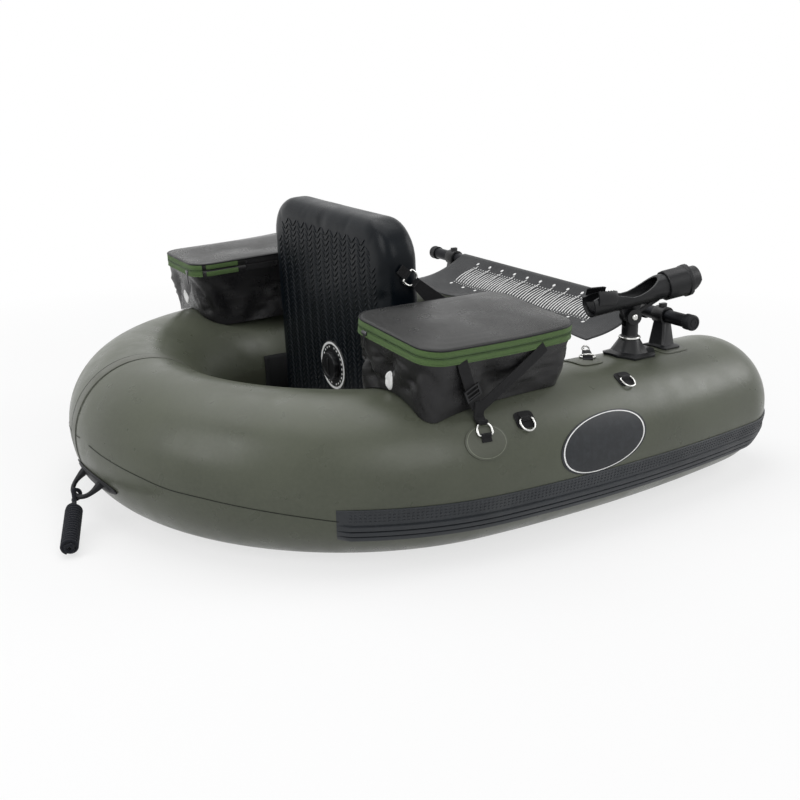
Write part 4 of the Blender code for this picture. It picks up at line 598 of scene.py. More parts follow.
LINKS = (
    ("line", "Line", "curve", "Mesh"), ("curve", "Curve", "stops", "Curve"),
    ("line", "Spacing", "stops", "Length"), ("tangent", "Tangent", "ahead", "Vector"),
    ("ahead", "Rotation", "up", "Rotation"), ("upright", "Attribute", "up", "Vector"),
    ("line", "Long", "size", "X"), ("line", "Wide", "size", "Y"), ("line", "High", "size", "Z"),
    ("size", "Vector", "block", "Size"), ("line", "Soften", "soften", "Level"),
    ("block", "Mesh", "soften", "Mesh"), ("soften", "Mesh", "stand", "Instance"),
    ("line", "Slant", "lean", "Angle"), ("up", "Rotation", "spin", "Rotation"),
    ("lean", "Rotation", "spin", "Rotate By"), ("spin", "Rotation", "stand", "Rotation"),
    ("upright", "Attribute", "lift", 0), ("line", "Lift", "lift", "Scale"),
    ("stops", "Curve", "shift", "Geometry"), ("lift", "Vector", "shift", "Offset"),
    ("shift", "Geometry", "stand", "Points"), ("stand", "Instances", "real", "Geometry"),
    ("real", "Geometry", "paint", "Geometry"), ("line", "Look", "paint", "Material"),
    ("paint", "Geometry", "out", "Pieces"),
)


def wired(tree, kinds, links):
    """Adds named nodes to a tree and joins them; returns them by name."""
    nodes = {}
    for label, (kind, settings) in kinds.items():
        nodes[label] = tree.nodes.new(kind)
        for key, value in settings.items():
            setattr(nodes[label], key, value)
    for source, leaves, target, enters in links:
        tree.links.new(nodes[source].outputs[leaves], nodes[target].inputs[enters])
    return nodes


def repeat_tree():
    tree = bpy.data.node_groups.new("repeat_along", "GeometryNodeTree")
    face = tree.interface
    face.new_socket("Line", in_out="INPUT", socket_type="NodeSocketGeometry")
    for label, value in SIZES:
        face.new_socket(label, in_out="INPUT", socket_type="NodeSocketFloat").default_value = value
    face.new_socket("Soften", in_out="INPUT", socket_type="NodeSocketInt").default_value = 1
    face.new_socket("Look", in_out="INPUT", socket_type="NodeSocketMaterial")
    face.new_socket("Pieces", in_out="OUTPUT", socket_type="NodeSocketGeometry")
    nodes = wired(tree, NODES, LINKS)
    nodes["upright"].inputs["Name"].default_value = "upright"
    nodes["lean"].inputs["Axis"].default_value = UP
    return tree


REPEAT = repeat_tree()


def repeated(name, lines, look, spacing, long, wide, high, lift=0.0, slant=0.0, soften=1):
    """Small blocks along lines; each line is a list of (point, upright) pairs."""
    mesh = bpy.data.meshes.new(name)
    points, edges, uprights = [], [], []
    for line in lines:
        start = len(points)
        points += [tuple(p) for p, u in line]
        uprights += [c for p, u in line for c in u]
        edges += [(start + k, start + k + 1) for k in range(len(line) - 1)]
    mesh.from_pydata(points, edges, [])
    mesh.attributes.new("upright", "FLOAT_VECTOR", "POINT").data.foreach_set("vector", uprights)
    made = placed(name, mesh)
    step = made.modifiers.new("repeat", "NODES")
    step.node_group = REPEAT
    values = {"Spacing": spacing, "Long": long, "Wide": wide, "High": high, "Lift": lift,
              "Slant": slant, "Soften": soften, "Look": look}
    for socket in REPEAT.interface.items_tree:
        if socket.item_type == "SOCKET" and socket.in_out == "INPUT" and socket.name in values:
            step[socket.identifier] = values[socket.name]
    made.data = plain_mesh(made)
    made.data.shade_smooth()
    return paint(made, look)


print("tree nodes:", len(REPEAT.nodes))

# %% [markdown]
# The hull is one air-tight tube of coated cloth. A curve with a round bevel would be quicker,
# but it has no domed tips and no flat feet. So it is skinned with rings all the way from one
# tip to the other, much finer than the solid, and flattened a little where it stands on the
# floor.

# %% Hull skin
HULL_SIDES = 96
STERN_STEPS, ARM_STEPS, DOME_STEPS = 44, 40, 16
HULL_CLOSE = 2.985


def hand_over(piece, body, slot, *nodes):
    """Rides a finished piece on its body and hides the solids it stands for; slot is not used."""
    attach(piece, body)
    if nodes:
        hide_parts(*nodes)


def hull_route():
    steps = [k / STERN_STEPS for k in range(STERN_STEPS)]
    steps += [1 + k / ARM_STEPS for k in range(ARM_STEPS)]
    steps += [2 + k / DOME_STEPS for k in range(DOME_STEPS)] + [HULL_CLOSE]
    return [(LEFT, s) for s in reversed(steps)] + [(RIGHT, s) for s in steps[1:]]


def on_floor(point):
    return Vector((point.x, point.y, max(point.z, 0)))


hull_rings = [[on_floor(hull_point(side, s, a)) for a in circle(HULL_SIDES)]
              for side, s in hull_route()]
hull = paint(skin("hull_skin", hull_rings, 60), hull_look)
hand_over(hull, "hull", "hull_pvc", "hull_tube")
print("hull faces:", len(hull.data.polygons))

# %% [markdown]
# The hull's panels meet under narrow glued tapes, with a fine groove at each edge. The grooves
# are thin near-black strips laid on the skin: their dark colour is painted shade. A Shrinkwrap
# modifier could lay them, but the tube's own functions are exact. A tape is a strip that
# follows a line of stops, each a place s, below zero on the right side, and an angle in
# degrees. It lies just proud of the skin.

# %% Seam tapes
TAPE_PROUD = 0.0006
TAPE_SECTION = ((-0.5, 0), (-0.5, 0.55), (-0.42, 1), (0, 1), (0.42, 1), (0.5, 0.55), (0.5, 0))
STERN_RUN = 0.69
STERN_SEAM, STERN_SEAM_WIDE, STERN_SEAM_EDGE = 0.085, 0.034, 0.0175 / STERN_RUN
LOW_SEAM = ((0.03, 5), (0.2, -0.5), (0.3, -5), (0.4, -7), (0.58, -13.5), (0.76, -23))
INNER_SEAM, INNER_SEAM_ANGLE = (0.0, 0.3, 0.6, 0.9, 1.2, 1.5, 1.8, 2.0), 178


def signed_point(reach, angle, offset=0.0):
    """Point on the skin by a signed place: below zero on the right, above on the left."""
    return hull_point(LEFT if reach >= 0 else RIGHT, abs(reach), angle, offset)


def tape(name, stops, wide, thick, look, steps=10, offset=FIT):
    """Strip along stops of (signed s, angle in degrees), as wide as given."""
    knots = smooth_route([Vector((s, a, 0)) for s, a in stops], steps)
    rings = []
    for k, spot in enumerate(knots):
        here = signed_point(spot.x, radians(spot.y))
        ahead = knots[min(k + 1, len(knots) - 1)] - knots[max(k - 1, 0)]
        before = signed_point(spot.x - ahead.x / 2, radians(spot.y - ahead.y / 2))
        after = signed_point(spot.x + ahead.x / 2, radians(spot.y + ahead.y / 2))
        along = (after - before).normalized()
        normal = (signed_point(spot.x, radians(spot.y), 0.01) - here).normalized()
        across = normal.cross(along)
        rings.append([flat_to_skin(spot, here + across * (share * wide))
                      + normal * (offset + rise * thick) for share, rise in TAPE_SECTION])
    return paint(skin(name, rings, 50), look)


def flat_to_skin(spot, point):
    """Drops a point beside a spot back on the tube there, round its middle line."""
    side = LEFT if spot.x >= 0 else RIGHT
    s = abs(spot.x)
    centre, heading = centre_line(side, min(s, 2))[:2]
    rel = point - centre - UP * tube_height(s)
    along = heading * rel.dot(heading)
    radial = rel - along
    return centre + UP * tube_height(s) + along + radial.normalized() * tube_radius(min(s, 2))


def ring_tape(name, reach, wide, thick, look):
    """Tape round the tube at one place, open where the hull stands on the floor."""
    return tape(name, [(reach, a) for a in range(-64, 244, 14)], wide, thick, look, 3)


seams = [ring_tape("seam", STERN_SEAM, STERN_SEAM_WIDE, TAPE_PROUD, tape_look)]
for side_name, sign in SIDES:
    # The low seam line is a near-black strip: painted shade of a groove.
    seams.append(tape("seam_low", [(sign * s, a) for s, a in LOW_SEAM], wide=0.0016,
                      thick=0.0004, look=groove_shade_look, steps=12))
    seams.append(tape("seam_inner", [(sign * s, INNER_SEAM_ANGLE) for s in INNER_SEAM],
                      wide=0.036, thick=TAPE_PROUD, look=tape_look, steps=8))
# Near-black lines at the stern tape's edges: painted shade of the grooves there.
edges = [ring_tape("edge", STERN_SEAM + shift * STERN_SEAM_EDGE, 0.0012, 0.0003, groove_shade_look)
         for shift in (-1, 1)]
joined_seams = joined("hull_seam_tapes", *seams)
joined_groove_shade = joined("hull_seam_groove_shade", *edges)
for piece in (joined_seams, joined_groove_shade):
    hand_over(piece, "hull", "hull_pvc")
print("seam faces:", len(joined_seams.data.polygons) + len(joined_groove_shade.data.polygons))

# %% [markdown]
# The rub strakes are extruded rubber, glued along the widest part: a flat band with fine
# cross ribs, and below it three raised bands with grooves between them. Like the real
# extrusion, one section is swept along the hull; the ribs are small blocks set in four rows
# by the repeat tree.

# %% Rub strakes
STRAKE_START = PART_SHIFT - 0.2429 * HULL_LENGTH
STRAKE_TOP = radians(-8)
STRAKE_WIDTH = 0.070
STRAKE_THICK, STRAKE_RIB = 0.0025, 0.0030
STRAKE_END, STRAKE_STEPS = 2.70, 150
NUB_ROWS = (0.07, 0.16, 0.25, 0.34)


def strake_section():
    """(share of the width, height) pairs: a flat edge band and three raised ones."""
    low, band, top = STRAKE_THICK * 0.75, STRAKE_THICK, STRAKE_THICK + STRAKE_RIB
    stops = [(0, 0), (0, 0.0012), (0.012, band), (0.43, band), (0.44, low), (0.475, low),
             (0.485, top * 0.93), (0.50, top), (0.61, top), (0.62, low), (0.655, low),
             (0.665, top * 0.93), (0.68, top), (0.79, top), (0.80, low), (0.835, low),
             (0.845, top * 0.93), (0.86, top), (0.975, top), (0.99, top * 0.7), (1, 0)]
    return [(share, max(rise, 0) + FIT) for share, rise in stops]


def strake_point(sign, s, share, offset=0.0):
    return hull_point(sign, s, STRAKE_TOP - share * STRAKE_WIDTH / TUBE_R, offset)


start = s_at(STRAKE_START)
steps = [start + (STRAKE_END - start) * k / STRAKE_STEPS for k in range(STRAKE_STEPS + 1)]
for side_name, sign in SIDES:
    rings = []
    for k, s in enumerate(steps):
        shrink = min(1, (k + 0.3) / 2, (STRAKE_STEPS - k + 0.3) / 3)
        rings.append([strake_point(sign, s, share, FIT + (rise - FIT) * shrink)
                      for share, rise in strake_section()])
    strake = paint(skin("strake_" + side_name, rings, 35), strake_look)
    lines = [[(strake_point(sign, s, share, STRAKE_THICK + FIT),
               strake_point(sign, s, share, 1) - strake_point(sign, s, share))
              for s in steps[2:-3]] for share in NUB_ROWS]
    nubs = repeated("strake_nubs", lines, strake_look, spacing=0.0085, long=0.0062, wide=0.0034,
                    high=0.0013)
    whole = joined("rub_strake_skin_" + side_name, strake, nubs)
    hand_over(whole, "hull", "strake_rubber", "rub_strake_" + side_name)
print("strakes done")

# %% [markdown]
# Patches of coated cloth are glued on the hull to carry the rings, and a plain oval one with
# a pale edge line sits on the arm. A material could show them flat, but a real edge catches
# the light, so each is a rounded outline laid on the skin.

# %% Patches on the skin
def patch(name, side, x, angle, half_along, half_around, power, thick, look, tilt=0.0, base=FIT,
          rings_in=(0, 0.35, 0.7, 0.9, 0.97, 1.0), edge=True, sides=72):
    """Pad that follows the skin; power 2 is an ellipse, 4 nearly a square."""
    s0 = s_at(x)
    radius = tube_radius(s0)
    forward = centre_line(side, s0)[1].x
    rings = []
    levels = [(share, thick if share < 0.97 else thick * 0.85) for share in rings_in]
    if edge:
        levels.append((1.0, 0.0))
    for share, rise in levels:
        ring = []
        for turn in circle(sides):
            grow = (abs(cos(turn)) ** power + abs(sin(turn)) ** power) ** (-1 / power)
            a, b = half_along * cos(turn) * grow * share, half_around * sin(turn) * grow * share
            along, around = a * cos(tilt) - b * sin(tilt), a * sin(tilt) + b * cos(tilt)
            s = s_at(x + along * forward)
            ring.append(hull_point(side, s, angle + around / radius, base + rise))
        rings.append(ring)
    return paint(skin(name, rings, 50, caps=False), look)


BADGE_PLACE = (RIGHT, 0.119, radians(13.5))
BADGE_LONG, BADGE_WIDE, BADGE_POWER, BADGE_TILT = 0.106, 0.0545, 2.1, radians(8)
LINE_OUTER, LINE_INNER = 0.955, 0.925
badge_piece = joined(
    "badge_patch",
    patch("badge", *BADGE_PLACE, BADGE_LONG, BADGE_WIDE, BADGE_POWER, 0.0010, badge_look,
          BADGE_TILT),
    patch("badge", *BADGE_PLACE, BADGE_LONG * LINE_OUTER, BADGE_WIDE * LINE_OUTER, BADGE_POWER,
          0.00012, white_look, BADGE_TILT, FIT + 0.0011, (LINE_INNER / LINE_OUTER, 1.0), False))
hand_over(badge_piece, "hull", "hull_pvc")
print("badge faces:", len(badge_piece.data.polygons))

# %% [markdown]
# Air-filled vinyl pads are never quite flat. A short cloth simulation blows each one up
# from a slightly smaller copy: pressure inside, no gravity, and a cap on how far a point
# may move, so that the pad keeps to the room its solid holds.

# %% Puffing pads
PUFF_FRAMES = 20


def puffed(made, voxel, cap, pressure=4.0, stiff=12.0):
    """Blows the piece up with cloth pressure, capped, and smooths it once."""
    finished(made, ("REMESH", {"mode": "VOXEL", "voxel_size": voxel}))
    before = [v.co.copy() for v in made.data.vertices]
    cloth = made.modifiers.new("Cloth", "CLOTH")
    settings = cloth.settings
    settings.use_pressure = True
    settings.uniform_pressure_force = pressure
    settings.effector_weights.gravity = 0
    settings.quality = 5
    settings.tension_stiffness = settings.compression_stiffness = stiff
    settings.shear_stiffness = stiff
    settings.bending_stiffness = 1.5
    cloth.point_cache.frame_start, cloth.point_cache.frame_end = 1, PUFF_FRAMES
    for step in range(1, PUFF_FRAMES + 1):
        bpy.context.scene.frame_set(step)
    blown = plain_mesh(made)
    most = 0
    for vertex, start in zip(blown.vertices, before):
        move = vertex.co - start
        most = max(most, move.length)
        if move.length > cap:
            vertex.co = start + move * (cap / move.length)
    made.data = blown
    bpy.context.scene.frame_set(1)
    made = finished(made, ("SMOOTH", {"iterations": 3, "factor": 0.5}))
    made.data.shade_smooth()
    print("puffed", made.name, "largest move %.1f mm" % (most * 1000))
    return made


# %% [markdown]
# The backrest is a tall air pad: round top corners, a soft rim all round and a slight crown
# on both faces. Its rear face is pressed with slanting dashes in columns. Bump would be lost
# from the exported mesh, so the repeat tree stands them on the finished, puffed surface.

# %% Backrest
BACK_FACE = PART_SHIFT - HULL_LENGTH * 0.048
SEAT_LEVEL = TUBE_R * 0.56
SEAT_SHEET = 0.0024
CUSHION_THICK = 0.070
SEAT_TOP = SEAT_LEVEL + SEAT_SHEET / 2 + FIT
BACK_WIDTH, BACK_HEIGHT, BACK_THICK = 0.515, 0.492, 0.080
CORNER_TOP, CORNER_LOW, BACK_EDGE, BACK_CROWN = 0.085, 0.030, 0.026, 0.006
BACK_FOOT = 0.0028
back_pivot = Vector((BACK_FACE, 0, SEAT_TOP + CUSHION_THICK))
back_frame = (Matrix.Translation(back_pivot) @ Matrix.Rotation(-radians(3), 4, "Y")
              @ Matrix.Translation(Vector((0, 0, -(back_pivot.z - SEAT_TOP - BACK_FOOT)))))


def back_outline(inset, steps=14, straight=16):
    half, high = BACK_WIDTH / 2 - inset, BACK_HEIGHT - inset
    outline = []
    corners = ((1, high, CORNER_TOP - inset, 0), (-1, high, CORNER_TOP - inset, 1),
               (-1, inset, CORNER_LOW - inset, 2), (1, inset, CORNER_LOW - inset, 3))
    for sign, edge, radius, start in corners:
        radius = max(radius, 0.002)
        middle = edge - radius if start < 2 else edge + radius
        for k in range(steps + 1):
            a = (start + k / steps) * pi / 2
            outline.append(Vector((sign * (half - radius) + radius * cos(a),
                                   middle + radius * sin(a))))
    full = []
    for k, here in enumerate(outline):
        full.append(here)
        if (k + 1) % (steps + 1) == 0:
            after = outline[(k + 1) % len(outline)]
            full += [here.lerp(after, m / straight) for m in range(1, straight)]
    return full


def back_ring(depth, inset=0.0, share=1.0):
    middle = BACK_HEIGHT / 2
    return [back_frame @ Vector((-depth, p.x * share, middle + (p.y - middle) * share))
            for p in back_outline(inset)]


def backrest_rings(slim):
    """Rings from the front face's middle, round the rim, to the rear face's middle."""
    shares = (0.04, 0.2, 0.4, 0.6, 0.8, 0.92)
    rings = [back_ring(slim - BACK_CROWN * (1 - share ** 2), BACK_EDGE, share) for share in shares]
    for k in range(9):
        a = pi / 2 * (1 - k / 8)
        rings.append(back_ring(slim + BACK_EDGE * (1 - sin(a)), slim + BACK_EDGE * (1 - cos(a))))
    for k in range(9):
        a = pi / 2 * k / 8
        rings.append(back_ring(BACK_THICK - slim - BACK_EDGE * (1 - sin(a)),
                               slim + BACK_EDGE * (1 - cos(a))))
    return rings + [back_ring(BACK_THICK - slim + BACK_CROWN * (1 - share ** 2), BACK_EDGE, share)
                    for share in reversed(shares)]


BACK_SLIM = 0.0025
backrest = skin("backrest_pad", backrest_rings(BACK_SLIM), 80)
backrest = paint(puffed(backrest, voxel=0.006, cap=0.004, pressure=3.0), back_look)


def surface_hits(made, spots, direction):
    """Points and normals where rays meet a piece; spots that miss are left out."""
    shape = bmesh.new()
    shape.from_mesh(made.data)
    tree = BVHTree.FromBMesh(shape)
    shape.free()
    hits = []
    for spot in spots:
        place, normal = tree.ray_cast(spot, direction)[:2]
        if place is not None:
            hits.append((place, normal if normal.dot(direction) < 0 else -normal))
    return hits


DASH_PITCH, DASH_COLUMN, DASH_LONG, DASH_WIDE = 0.0112, 0.0185, 0.0262, 0.0056
DASH_SPREAD, DASH_LOW, DASH_HIGH, DASH_SLANT = 0.205, 0.060, 0.440, radians(46)
ROUND_FROM, ROUND_REACH, ROUND_DROP = 0.165, 0.042, 0.055
rear_out = back_frame.to_3x3() @ Vector((-1, 0, 0))
columns = int(2 * DASH_SPREAD / DASH_COLUMN)
slants = {1: [], -1: []}
for k in range(columns + 1):
    y = -DASH_SPREAD + k * DASH_COLUMN
    corner = max(0, abs(y) - ROUND_FROM)
    top = DASH_HIGH - ROUND_DROP * (corner / ROUND_REACH) ** 2
    spots = [back_frame @ Vector((-0.2, y, DASH_LOW + (top - DASH_LOW) * m / 40))
             for m in range(41)]
    slants[1 if k % 2 else -1].append(surface_hits(backrest, spots, -rear_out))
dashes = [repeated("dashes", slants[way], back_look, DASH_PITCH, DASH_LONG, DASH_WIDE,
                   high=0.0034, lift=0.0001, slant=way * DASH_SLANT) for way in slants]
print("dashes:", sum(len(d.data.polygons) for d in dashes) // 24)
pattern = joined("backrest_pressed_pattern", *dashes)
hand_over(backrest, "backrest", "backrest_pvc", "backrest")
hand_over(pattern, "backrest", "backrest_pvc")

# %% [markdown]
# The valve in the backrest's rear face has a wide flange with a pale ring and a screw cap
# with finger grooves. The real ones are moulded round an axis, so flange and cap are turned
# shapes; the cap's grips are a wavy edge.

# %% Valves
VALVES = {
    "backrest_valve": (back_frame @ Matrix.Translation(
        Vector((-(BACK_THICK + BACK_CROWN), -0.019, BACK_HEIGHT * 0.32)))
        @ Matrix.Rotation(-pi / 2, 4, "Y"), 0.054, 0.0030, 0.024, 0.0075, 0.030, 0.010),
}


def hull_valve_frame():
    s, angle = s_at(PART_SHIFT + HULL_LENGTH * 0.2143), pi - radians(20)
    heading, outward = centre_line(RIGHT, s)[1:]
    return frame_matrix(hull_point(RIGHT, s, angle, 0.0006), heading,
                        outward * cos(angle) + UP * sin(angle))


VALVES["hull_valve"] = (hull_valve_frame(), 0.028, 0.003, 0.015, 0.006, 0.019, 0.009)
MARK_R, MARK_ARCS = 0.0405, ((195, 345), (15, 75), (105, 165))


def valve(name, place, flange, flat, neck, rise, cap, cap_high):
    """Flange with its pale ring, and a screw cap with wavy grips on its neck."""
    low = FIT + flat
    base = paint(lathe("base", ((neck * 0.3, FIT), (flange, FIT), (flange, low * 0.55),
                                (flange - 0.0012, low * 0.9), (flange - 0.003, low),
                                (neck, low), (neck, low + rise), (neck * 0.3, low + rise)),
                       place, 72), black_look)
    ring = paint(lathe("ring", ((flange - 0.0080, low), (flange - 0.0077, low + 0.0005),
                                (flange - 0.0031, low + 0.0005), (flange - 0.0030, low)),
                       place, 72, loop=True), white_look)
    body = [base, ring]
    if name == "backrest_valve":
        marks = [[(place @ Vector((MARK_R * cos(a), MARK_R * sin(a), low)), place.to_3x3() @ UP)
                  for a in (radians(first + (last - first) * k / 30) for k in range(31))]
                 for first, last in MARK_ARCS]
        body.append(repeated("marks", marks, white_look, spacing=0.0098, long=0.0064,
                             wide=0.0050, high=0.0010))
    body = joined(name + "_flange", *body)
    hand_over(body, "backrest" if name == "backrest_valve" else "hull", "black_plastic",
              name + "_body")
    cap_low, cap_top = low + FIT, low + rise + FIT + cap_high * 0.4
    rings = []
    for r, z, wave in ((neck + 0.0006, cap_low, 0), (cap * 0.97, cap_low, 0.5),
                       (cap, cap_low + 0.0008, 1), (cap, cap_top - 0.0016, 1),
                       (cap * 0.975, cap_top - 0.0005, 0.8), (cap * 0.93, cap_top, 0),
                       (cap * 0.72, cap_top, 0), (cap * 0.70, cap_top - 0.0012, 0),
                       (cap * 0.2, cap_top - 0.0012, 0)):
        grips = ((r * (1 - 0.035 * wave * (1 + cos(12 * a)) / 2), a) for a in circle(96))
        rings.append([place @ Vector((grip * cos(a), grip * sin(a), z)) for grip, a in grips])
    top = paint(skin("cap", rings, 30), black_look)
    rings = [[place @ Vector((x, y, z)) for x, y in
              rounded_outline(cap * 0.62 - trim, 0.0032 - trim, 0.0025 - trim, 4, 2)]
             for z, trim in ((cap_top - 0.0013, 0), (cap_top + 0.0004, 0),
                             (cap_top + 0.0010, 0.0008))]
    bar = paint(skin("bar", rings, 40), black_look)
    cap_piece = joined(name + "_screw_cap", top, bar)
    hand_over(cap_piece, name + "_cap", "black_plastic", name + "_cap")


for name, sizes in VALVES.items():
    valve(name, *sizes)
print("valves done")

# %% [markdown]
# The seat is a sheet of cloth slung between the arms, glued up their inner sides, with a foam
# cushion on it. The sheet is pulled tight, so a line that follows the arms is truer than a
# simulated drape. The cushion is crowned, drawn in at the foot, and sewn across in three
# channels before it is puffed.

# %% Seat sheet and cushion
SEAT_BACK, SEAT_FRONT = PART_SHIFT - 0.175, PART_SHIFT + HULL_LENGTH * 0.1536
SEAT_EASE, SEAT_FLAP = 0.0018, radians(18)


def seat_line(x):
    """The sheet's line across the boat at x: up one arm's inner side, across, up the other."""
    s = s_at(x)
    centre, skew = centre_line(LEFT, s)[0], centre_line(LEFT, s)[2].y
    radius, height = tube_radius(s) + SEAT_EASE + SEAT_SHEET / 2, tube_height(s)
    leave = -asin((height - SEAT_LEVEL) / radius)
    turns = [SEAT_FLAP + (leave - SEAT_FLAP) * k / 14 for k in range(15)]
    left = [Vector((x, centre.y - radius * cos(a) / skew, height + radius * sin(a))) for a in turns]
    right = [Vector((p.x, -p.y, p.z)) for p in left]
    middle = [right[-1].lerp(left[-1], k / 16) for k in range(1, 16)]
    return right + middle + left[::-1]


seat_rows = [seat_line(SEAT_BACK + (SEAT_FRONT - SEAT_BACK) * k / 24) for k in range(25)]
# The sling's cloth is darkened as painted shade, for the shadow where it runs up the arms' inner
# sides.
seat = paint(cloth_strip("seat_sling", seat_rows, SEAT_SHEET * 0.6), seat_and_shade_look)
hems = []
for row, inward in ((seat_rows[0], seat_rows[1]), (seat_rows[-1], seat_rows[-2])):
    line = [a.lerp(b, 0.45) for a, b in zip(row, inward)]
    hems.append([(p, UP) for p in line[14:-14]])
seat_stitch = repeated("seat_stitches", hems, thread_look, spacing=0.0050, long=0.0034,
                       wide=0.0009, high=0.0008, lift=SEAT_SHEET * 0.3)
hand_over(seat, "hull", "apron_pvc", "seat_sheet")
hand_over(seat_stitch, "hull", "apron_pvc")

CUSHION_LENGTH, CUSHION_HALF, CUSHION_DRAW = HULL_LENGTH * 0.19, BACK_WIDTH / 2, 0.012
CUSHION_START = BACK_FACE + FIT + 0.004


def cushion_ring(share, slim, sides=72):
    """Ring across the cushion at a share of its length, channels pressed in."""
    bow = abs(2 * share - 1)
    edge = (1 - bow ** 6) ** 0.5
    panel = (share * 4) % 1
    crease = (2 * abs(panel - 0.5)) ** 8
    top = CUSHION_THICK + 0.012 * edge - 0.012 * crease * edge
    high = SEAT_TOP + CUSHION_THICK * 0.45 + (top - CUSHION_THICK * 0.45) * edge - slim
    low = SEAT_TOP + CUSHION_DRAW * 0.6 * bow ** 12 + slim * 0.3
    half = (CUSHION_HALF - slim) * (1 - 0.05 * bow ** 6)
    ring = []
    x = CUSHION_START + slim + (CUSHION_LENGTH - 2 * slim) * share
    for a in circle(sides):
        flat = abs(cos(a)) ** 0.35 * (1 if cos(a) > 0 else -1)
        if sin(a) >= 0:
            z = low + (high - low) * (0.3 + 0.7 * abs(sin(a)) ** 0.35)
        else:
            z = low + (high - low) * (0.3 - 0.3 * abs(sin(a)) ** 0.35)
            flat *= 1 - CUSHION_DRAW / half * abs(sin(a)) ** 0.5
        ring.append(Vector((x, half * flat, z)))
    return ring


CUSHION_SLIM, CHANNEL_HALF = 0.0022, 0.215
cushion_shares = [0.04 + 0.92 * k / 60 for k in range(61)]
cushion_shares = [0.004, 0.012, 0.025] + cushion_shares + [0.975, 0.988, 0.996]
slim = CUSHION_SLIM
cushion = skin("seat_pad", [cushion_ring(share, slim) for share in cushion_shares], 80)
# The cushion takes the same darkened cloth, partly painted shade.
cushion = paint(puffed(cushion, voxel=0.005, cap=0.004), seat_and_shade_look)
channel_lines = []
for k in (1, 2, 3):
    x = CUSHION_START + CUSHION_LENGTH * k / 4
    spots = [Vector((x, -CHANNEL_HALF + 2 * CHANNEL_HALF * m / 60, 0.4)) for m in range(61)]
    channel_lines.append(surface_hits(cushion, spots, -UP))
sewing = repeated("seat_pad_sewing", channel_lines, thread_look, spacing=0.0052, long=0.0036,
                  wide=0.0010, high=0.0010)
hand_over(cushion, "hull", "seat_foam", "seat_cushion")
hand_over(sewing, "hull", "seat_foam")
print("cushion top at %.3f m" % max(v.co.z for v in cushion.data.vertices))

# %% [markdown]
# Each bag saddles an arm: a coated-cloth tub under a stiffened lid, closed by a zip. A cloth
# simulation would crease the tub by chance, so it is lofted from the rim down with creases at
# listed places and soft noise, and its floor takes the arm's round form. The zip's green
# tapes run round all but the hinge side.

# %% Bag form
BAG_SHARES, BAG_Y = {RIGHT: -0.071, LEFT: -0.098}, 0.428
BAG_LENGTH, BAG_WIDTH, BAG_CORNER = HULL_LENGTH * 0.251, TUBE_R * 1.62, 0.045
BAG_RIMS = {RIGHT: 2 * TUBE_R - FLOOR_FLAT + 0.101, LEFT: 2 * TUBE_R - FLOOR_FLAT + 0.114}
BAG_HEIGHT, BAG_SAG, BAG_TAPER, BAG_WALL, BAG_BAND = 0.140, 0.030, 0.014, 0.003, 0.013
BAG_LEANS = {RIGHT: radians(6), LEFT: radians(0.5)}
BAG_PITCHES = {RIGHT: 0, LEFT: radians(4)}
BAG_RESTS = {RIGHT: 0.0023, LEFT: 0.0019}
LID_HEIGHT, LID_CROWN = 0.016, 0.004
WALL_LEVELS = 24


def bag_frame(side):
    centre = Vector((PART_SHIFT + BAG_SHARES[side] * HULL_LENGTH, side * BAG_Y, BAG_RIMS[side]))
    return (Matrix.Translation(centre) @ Matrix.Rotation(-side * radians(5), 4, "Z")
            @ Matrix.Rotation(-side * BAG_LEANS[side], 4, "X")
            @ Matrix.Rotation(-BAG_PITCHES[side], 4, "Y"))


def bag_outline(inset, steps=8, straight=14):
    return rounded_outline(BAG_LENGTH / 2 - inset, BAG_WIDTH / 2 - inset, BAG_CORNER - inset,
                           steps, straight)


# each crease: where it starts and ends, as shares round the rim and down the wall, how deep
# it draws the cloth in and how wide it is
FOLDS = (
    (0.30, 0.05, 0.37, 0.95, 0.0140, 0.018), (0.375, 0.25, 0.40, 0.98, -0.0110, 0.016),
    (0.44, 0.10, 0.40, 0.75, 0.0120, 0.020), (0.26, 0.85, 0.33, 0.35, 0.0100, 0.018),
    (0.52, 0.08, 0.46, 0.80, 0.0095, 0.024), (0.60, 0.70, 0.53, 0.15, 0.0090, 0.022),
    (0.64, 0.10, 0.68, 0.92, 0.0120, 0.018), (0.73, 0.90, 0.69, 0.30, -0.0100, 0.016),
    (0.76, 0.12, 0.72, 0.85, 0.0100, 0.020), (0.13, 0.10, 0.20, 0.85, 0.0100, 0.022),
    (0.88, 0.85, 0.93, 0.20, 0.0090, 0.024), (0.03, 0.80, 0.08, 0.15, 0.0080, 0.024),
)


def fold_depth(u, v, side):
    """How far the wall is drawn in at a share round the rim and down the wall, in metres."""
    depth = 0.0
    for u0, v0, u1, v1, deep, wide in FOLDS:
        if side == LEFT:
            u0, u1 = 1 - u0 + 0.02, 1 - u1 + 0.02
        a, b = Vector((u0, v0 * 0.12)), Vector((u1, v1 * 0.12))
        here = Vector((u, v * 0.12))
        t = max(0.0, min(1.0, (here - a).dot(b - a) / (b - a).length_squared))
        near = (here - a.lerp(b, t)).length / wide
        full = 0.35 + 0.65 * sin(pi * min(max(t, 0.08), 0.92))
        depth += deep * max(0.0, 1 - near) ** 1.6 * full
    return depth


def rim_wave(x, y, side):
    """The rim is never straight: it dips between its corners and lifts at one of them."""
    along, across = x / (BAG_LENGTH / 2), y * side / (BAG_WIDTH / 2)
    free = (1 + max(across, -1)) / 2
    dip = -0.0034 * (1 - along ** 2) * (0.4 + 0.6 * across)
    return free * (dip + 0.0030 * max(along, 0) ** 2 * max(across, 0)
                   - 0.0018 * max(-along, 0) ** 3)


